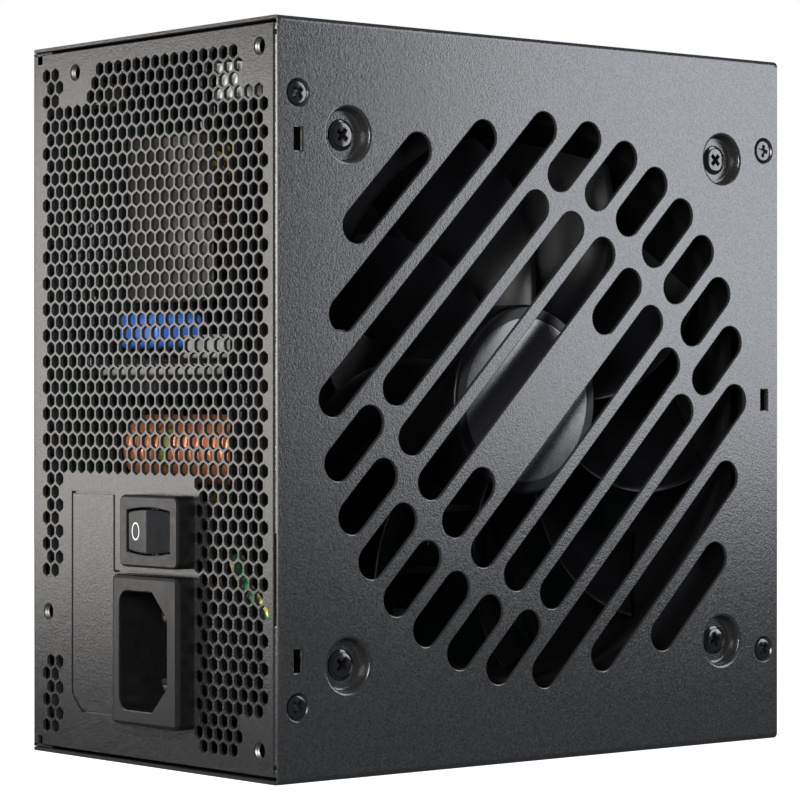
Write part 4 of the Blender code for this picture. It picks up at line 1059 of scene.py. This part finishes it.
def fan_rotor():
    """The fan's rotor: the hub with its label, and the blades."""
    (low, _, _), (high, _, _) = span("fan_rotor")
    inner, length = HUB_RADIUS - 1.3, low - high
    corner_turns = [math.radians(a) for a in range(0, 91, 15)]
    corner = [(HUB_RADIUS - 1 + math.sin(t), -1 + math.cos(t)) for t in corner_turns]
    hub = [(0, 0), *corner, (HUB_RADIUS, length), (inner, length), (inner, -1.8), (4, -1.8), (4, -4.5),
           (1.8, -4.5), (1.8, -1.2), (0, -1.2)]
    at = (high, 0, FAN_AXIS.z)
    fixed(turned("fan_hub", hub, "fan_plastic", at, steps=96), "fan_plastic", "rotor", "fan_rotor")
    label = [(0, 0.1), (16.9, 0.1), (17.1, 0.06), (17.1, 0.01), (0, 0.01)]
    fixed(turned("fan_hub_label", label, "hub_label", at, steps=96), "fan_plastic", "rotor")
    for index in range(BLADES):
        fan_blade(index)


# ---------------------------------------------------------------- circuit board and what it carries


def windings(stem, spans, reaches, middle, wire, aim):
    """Helices of wire round an axis along X or Y: one for each span along it and each reach out from it."""
    steps = 20
    for side, (start, end) in enumerate(spans, 1):
        turns = max(2, int((end - start - wire) / (wire + 0.05)))
        for layer, reach in enumerate(reaches, 1):
            points = []
            for step in range(turns * steps + 1):
                turn = 2 * math.pi * step / steps
                along = start + wire * 0.55 + (end - start - wire * 1.1) * step / (turns * steps)
                u, v = middle[0] + reach * math.cos(turn), middle[1] + reach * math.sin(turn)
                points.append((along, u, v) if aim == "X" else (u, along, v))
            fixed(tube(f"{stem}_winding_{side}_{layer}", points, wire, "copper_wire"), "copper")


def line_choke():
    """The filter choke behind the honeycomb: two bare windings on a green core along X."""
    low, high = span("filter_choke_1")
    y, z = low.y + 8.2, (low.z + high.z) / 2 - 1.4
    start, length, gap, rounding = -29.5, 38.0, (-16.9, -12.9), 0.6
    core = turned("line_choke_core", rod(4.6, 0, length, rounding), "choke_green", (start, y, z), steps=32)
    fixed(core, "ferrite", "case", "filter_choke_1")
    spans = ((start + rounding, gap[0]), (gap[1], start + length - rounding))
    windings("line_choke", spans, (5.4, 6.75), (y, z), 1.3, "X")
    divider = [(0, 0), (5.4, 0), (5.8, 0.3), (5.8, 0.9), (5.4, 1.2), (0, 1.2)]
    fixed(turned("line_choke_divider", divider, "choke_yellow", (sum(gap) / 2, y, z)), "ferrite")
    a, b = (low.x, y - 4, z - 4), (start - 0.1, y + 4, z + 4)
    fixed(soft_box("line_choke_foot", a, b, 0.5, "black_plastic"), "ferrite")


def film_capacitor():
    """The blue dipped capacitor, rounded as a coat of resin is."""
    low, high = span("film_capacitor_2")
    a, b = (max(low.x, -30), low.y, low.z), (high.x - 3, high.y - 3, high.z)
    body = soft_box("blue_capacitor", a, b, 1.6, "blue_film", steps=5)
    fixed(body, "blue_film", "case", "film_capacitor_2")


def pale_parts():
    """Three pale parts close behind the honeycomb, which have no CAD node."""
    blocks = (("relay_block", (19.2, -67.5, 135.2), (26.4, -61.0, 142.4), "fuse_ceramic"),
              ("pale_strip", (-27, -64, 80.2), (12, -60, 82.4), "pale_block"),
              ("pale_block", (-1, -61, 83.6), (12.5, -55, 88.4), "pale_block"))
    for name, low, high, look in blocks:
        fixed(soft_box(name, low, high, 0.5, look), "fuse_ceramic")


def earth_wire():
    """The striped wire from the inlet's earth contact to a ring terminal on the tray."""
    low, high = span("inlet_blade_earth")
    x, y, z = (low.x + high.x) / 2, high.y, (low.z + high.z) / 2
    route = [(x, y + 0.3, z), (x, y + 3, z), (9, -43.5, 31), (11.2, -45, 37), (12, -50, 40.3),
             (14.5, -56, 42), (19, -62.3, 42.9), (23.5, -65.4, 41.2), (28, -66.6, 38.4), (33, -66.8, 34.6),
             (37, -66.4, 31.4), (38.6, -64, 30)]
    wire = tube("earth_lead", smooth_route(route), 2.2, "earth_wire", resolution=4)
    fixed(wire, "earth_wire", "case", "earth_wire")


def smooth_route(points, steps=6):
    """A smooth row of places through the points."""
    spots = [Vector(p) for p in points]
    ends = [spots[0] * 2 - spots[1], *spots, spots[-1] * 2 - spots[-2]]
    route = []
    for a, b, c, d in zip(ends, ends[1:], ends[2:], ends[3:]):
        for step in range(steps):
            t = step / steps
            route.append(0.5 * ((2 * b) + (c - a) * t + (2 * a - 5 * b + 4 * c - d) * t * t
                                + (3 * b - a - 3 * c + d) * t**3))
    return [tuple(spot) for spot in route] + [tuple(spots[-1])]


def choke(node):
    """A filter choke: two windings of thick wire on a core, held in a frame on the board."""
    low, high = span(node)
    radius, middle_z = (high.z - low.z) / 2, (low.z + high.z) / 2
    axis_x, width = high.x - radius, 1.1
    core = rod(2.9, 0.1, high.y - low.y - 0.1, 0.3)
    fixed(turned("choke_core", core, "ferrite", (axis_x, low.y, middle_z), "+Y"), "ferrite", "case", node)
    flange = rod(radius - 0.2, 0, width, 0.3, inner=3.0)
    edges = (low.y, (low.y + high.y) / 2 - width / 2, high.y - width)
    for place, y in enumerate(edges, 1):
        fixed(turned(f"choke_flange_{place}", flange, "choke_yellow", (axis_x, y, middle_z), "+Y"), "ferrite")
    spans = [(start + width, end) for start, end in zip(edges, edges[1:])]
    windings("choke", spans, (radius - 2.4, radius - 0.9), (axis_x, middle_z), 1.25, "Y")
    a, b = (low.x, low.y + 2, low.z + 1), (axis_x - radius + 1.2, high.y - 2, high.z - 1)
    fixed(soft_box("choke_foot", a, b, 0.6, "black_plastic"), "ferrite")


def boost_choke():
    """A ring core wound all round with thick enamelled wire."""
    low, high = span("boost_choke")
    middle = (low + high) / 2
    wire, small = 1.3, (high.x - low.x) / 2
    ring, core, reach = (high.z - low.z) / 2 - small, small - wire - 0.1, small - wire / 2
    circle = [(ring + core * math.cos(t), core * math.sin(t)) for t in turns_round(20)]
    fixed(turned("boost_core", circle, "choke_yellow", middle), "copper", "case", "boost_choke")
    turns, steps, covered = 34, 16, 0.93
    points = []
    for step in range(turns * steps):
        turn = 2 * math.pi * step / steps
        around = 2 * math.pi * step / (turns * steps) * covered
        radius = ring + reach * math.cos(turn)
        across = (reach * math.sin(turn), radius * math.cos(around), radius * math.sin(around))
        points.append(middle + Vector(across))
    fixed(tube("boost_winding", points, wire, "copper"), "copper")


def transformer(node, wrap):
    """A ferrite core in two halves, the taped winding between them, and pins on the board."""
    low, high = span(node)
    core_low, core_high = Vector((low.x, low.y + wrap, low.z)), Vector((high.x, high.y - wrap, high.z))
    split, gap = (core_low.z + core_high.z) / 2, 0.12
    halves = ((core_low, (core_high.x, core_high.y, split - gap), [node]),
              ((core_low.x, core_low.y, split + gap), core_high, []))
    for index, (a, b, nodes) in enumerate(halves, 1):
        fixed(soft_box(f"{node}_core_{index}", a, b, 0.7, "ferrite"), "ferrite", "case", *nodes)
    inset = (core_high.z - core_low.z) * 0.2
    a, b = (low.x + 3, low.y, low.z + inset), (high.x - 3, high.y, high.z - inset)
    fixed(soft_box(f"{node}_winding", a, b, 2.0, "tape", steps=5), "ferrite")
    pin, pins = [(0, 3.4), (0.45, 3.4), (0.45, 0), (0, 0)], 4
    for side, y in enumerate((low.y + 1.0, high.y - 1.0), 1):
        for index in range(pins):
            z = low.z + inset + 1.5 + (high.z - low.z - 2 * inset - 3) * index / (pins - 1)
            name = f"{node}_pin_{side}_{index + 1}"
            fixed(turned(name, pin, "lead_solder", (low.x, y, z), steps=10), "bright_steel")


def bulk_capacitor():
    """The large capacitor: a sleeved can with a rolled groove, and its bare top."""
    low, high = span("bulk_capacitor")
    middle = (low + high) / 2
    at = (low.x, middle.y, middle.z)
    radius, length = (high.y - low.y) / 2, high.x - low.x
    rim = [(-2.6, -0.5), (-2.2, -0.1), (-0.9, 0), (-0.25, -0.3), (0, -1.0), (0, -3.6), (-0.35, -4.3),
           (-0.6, -5.0), (-0.35, -5.7), (0, -6.4)]
    can = [(0, length - 0.5), *[(radius + out, length + up) for out, up in rim], (radius, 0.8),
           (radius - 0.4, 0.1), (radius - 1, 0), (0, 0)]
    fixed(turned("bulk_can", can, "sleeve", at, steps=64), "black_sleeve", "case", "bulk_capacitor")
    upper, lower = length - 0.02, length - 0.45
    top = [(0, upper), (radius - 3.2, upper), (radius - 2.7, lower), (0, lower)]
    fixed(turned("bulk_can_top", top, "nickel", at, steps=64), "bright_steel")


def fuse():
    """The fuse: a ceramic tube between two metal caps."""
    low, high = span("fuse")
    middle, length, radius = (low + high) / 2, high.y - low.y, (high.z - low.z) / 2
    at, cap_length = (middle.x, low.y, middle.z), 4.6
    body = [(0, 4), (radius - 0.3, 4), (radius - 0.3, length - 4), (0, length - 4)]
    fixed(turned("fuse_tube", body, "fuse_ceramic", at, "+Y", 32), "fuse_ceramic", "case", "fuse")
    for index, start in enumerate((0.0, length - cap_length), 1):
        cap = rod(radius, start, start + cap_length, 0.4)
        fixed(turned(f"fuse_cap_{index}", cap, "nickel", at, "+Y", 32), "bright_steel")


def small_parts():
    """Chips, resistors and small capacitors on the three boards, placed by a seeded draw."""
    sink, draws = {}, random.Random(5)
    boards = (("main_board", "X", 70), ("converter_board", "Z", 22), ("control_board", "Z", 20))
    around = ("base_tray", "cover", "main_board", "fan_frame", "insulating_sheet")
    taken = [span(node) for node in frame["nodes"] if node not in around]
    for node, out, count in boards:
        low, high = span(node)
        for _ in range(count):
            size = draws.choice(((1.0, 1.6, 0.6), (1.6, 3.2, 0.7), (3.9, 5.0, 1.5), (2.2, 2.2, 1.2)))
            kind = draws.choice(("sleeve", "sleeve", "lead_solder", "tape", "black_plastic"))
            length, width, height = size if draws.random() < 0.5 else (size[1], size[0], size[2])
            if out == "X":
                y, z = draws.uniform(low.y + 4, high.y - 6), draws.uniform(low.z + 4, high.z - 6)
                a, b = Vector((high.x, y, z)), Vector((high.x + height, y + length, z + width))
            else:
                x, y = draws.uniform(low.x + 2, high.x - 6), draws.uniform(low.y + 2, high.y - 6)
                a, b = Vector((x, y, high.z)), Vector((x + length, y + width, high.z + height))
            if any(crosses(a, b, *box) for box in taken):
                continue
            taken.append((a, b))
            sink.setdefault(kind, bmesh.new())
            rounded_block(sink[kind], a, b, 0.12, 1)
    for kind, bm in sorted(sink.items()):
        fixed(finish_mesh(f"small_parts_{kind}", bm, kind), "circuit_board")


def crosses(a, b, low, high, margin=0.4):
    """Whether two boxes touch or are nearer than the margin."""
    return all(a[i] < high[i] + margin and b[i] > low[i] - margin for i in range(3))


def contacts():
    """A contact deep in each cell of the output sockets."""
    half, front_drop, back_drop = 0.32, 3.4, 9.4
    for node in header_nodes():
        (x0, _, z0), (x1, front, z1) = span(node)
        pitch = 3.0 if node == "graphics_socket" else 4.2
        row_x = (x0 + x1 - LATCH) / 2
        columns = round((z1 - z0 - pitch * 0.81) / pitch) + 1
        start = (z0 + z1) / 2 - (columns - 1) * pitch / 2
        bm = bmesh.new()
        for column in range(columns):
            for side in (-1, 1):
                x, z = row_x + side * pitch / 2, start + column * pitch
                a, b = (x - half, front - back_drop, z - half), (x + half, front - front_drop, z + half)
                rounded_block(bm, Vector(a), Vector(b), 0.12, 1)
        fixed(finish_mesh(f"{node}_contacts", bm, "gold"), "brass")


NODE_LOOKS = {
    "black_plastic": header_nodes(),
    "bright_steel": [*numbered("board_screw"), "fan_shaft"],
    "brass": ["switch_terminal_1", "switch_terminal_2", "fan_bearing"],
    "copper": ["fan_stator"],
    "ferrite": ["fan_magnet_ring"],
    "circuit_board": ["main_board", "socket_board"],
    "dark_board": ["converter_board", "control_board"],
    "insulator": ["insulating_sheet"],
    "heatsink": ["primary_heatsink", "secondary_heatsink"],
    "pale_film": ["film_capacitor_1"],
    "sleeve": ["rectifier", "fan_lead"],
    "brown_wire": ["live_wire", "switched_wire"],
    "blue_wire": ["neutral_wire"],
}


def dress_nodes():
    """The carried-over CAD nodes get their finishes."""
    for look, nodes in NODE_LOOKS.items():
        for node in nodes:
            mesh = frame["nodes"][node].data
            mesh.materials.clear()
            mesh.materials.append(LOOKS[look])
            for face in mesh.polygons:
                face.material_index = 0


# ---------------------------------------------------------------- stage, light and camera


def turn_toward(obj, direction):
    """Turns a light or camera so that it looks in this direction."""
    obj.rotation_mode = "QUATERNION"
    obj.rotation_quaternion = Vector(direction).to_track_quat("-Z", "Y")


def light(name, at, size, power, colour, aim):
    """A softbox, itself unseen, that faces the place it is aimed at."""
    data = bpy.data.lights.new(name, "AREA")
    data.shape = "RECTANGLE"
    data.size, data.size_y = size[0] * MM, size[1] * MM
    data.energy, data.color = power, colour
    obj = linked(name, data)
    obj.location = Vector(at) * MM
    turn_toward(obj, Vector(aim) - Vector(at))
    obj.visible_camera = False


def world():
    """White behind the object, and a faint cool light from all round it."""
    made = bpy.data.worlds.new("studio")
    bpy.context.scene.world = made
    made.use_nodes = True
    tree = made.node_tree
    tree.nodes.clear()
    mix, path = tree.nodes.new("ShaderNodeMixShader"), tree.nodes.new("ShaderNodeLightPath")
    output = tree.nodes.new("ShaderNodeOutputWorld")
    for socket, colour, strength in ((1, (0.78, 0.86, 1.0, 1), 0.18), (2, (1, 1, 1, 1), 1.0)):
        background = tree.nodes.new("ShaderNodeBackground")
        background.inputs["Color"].default_value = colour
        background.inputs["Strength"].default_value = strength
        tree.links.new(background.outputs[0], mix.inputs[socket])
    tree.links.new(path.outputs["Is Camera Ray"], mix.inputs[0])
    tree.links.new(mix.outputs[0], output.inputs[0])


def floor():
    """A plain white floor, which glows a little so that it blends into the white behind it."""
    bm = bmesh.new()
    bmesh.ops.create_grid(bm, x_segments=2, y_segments=2, size=4000)
    obj = finish_mesh("floor", bm, "white_ink", smooth=False)
    obj.location.z = -0.05 * MM
    nodes = Nodes("floor")
    nodes.feed(nodes.shader, "Base Color", nodes.mix(nodes.noise(300), (0.8,) * 3, (0.82,) * 3))
    nodes.feed(nodes.shader, "Roughness", 0.9)
    nodes.feed(nodes.shader, "Specular IOR Level", 0.0)
    nodes.feed(nodes.shader, "Emission Color", (1, 1, 1, 1))
    nodes.feed(nodes.shader, "Emission Strength", 0.93)
    obj.data.materials[0] = nodes.material
    obj.visible_glossy = False
    obj.visible_diffuse = False


def camera():
    """The photograph's view: level with the middle of the case, from the corner between fan side and rear."""
    data = bpy.data.cameras.new("camera")
    data.lens, data.sensor_width = 146.25, 36.0
    data.clip_start, data.clip_end = 0.05, 20
    obj = linked("camera", data)
    obj.location = Vector((541.7, -457.4, 75.0)) * MM
    turn_toward(obj, (-0.76635, 0.64258, 0))
    bpy.context.scene.camera = obj


def studio():
    """The stage: lights, the floor, the world and the camera."""
    bpy.context.scene.view_settings.view_transform = "Standard"
    bpy.context.scene.view_settings.look = "None"
    world()
    floor()
    light("cool_softbox", (387, 421, 271), (287, 457), 3.1, (0.91, 0.94, 1.0), (43, 329, 271))
    light("warm_softbox", (-406, -362, 104), (280, 202), 0.88, (1.0, 0.95, 0.9), (-325, -81, 104))
    light("front_strip", (430, -560, 220), (160, 380), 7.2, (1, 1, 1), (30, -30, 75))
    camera()


tray()
cover()
case_threads()
standoffs()
screws()
inlet()
switch()
fan_frame()
fan_rotor()
line_choke()
choke("filter_choke_2")
film_capacitor()
pale_parts()
earth_wire()
boost_choke()
transformer("main_transformer", 3.5)
transformer("standby_transformer", 2.0)
bulk_capacitor()
fuse()
small_parts()
contacts()
dress_nodes()
studio()

bpy.context.view_layer.update()
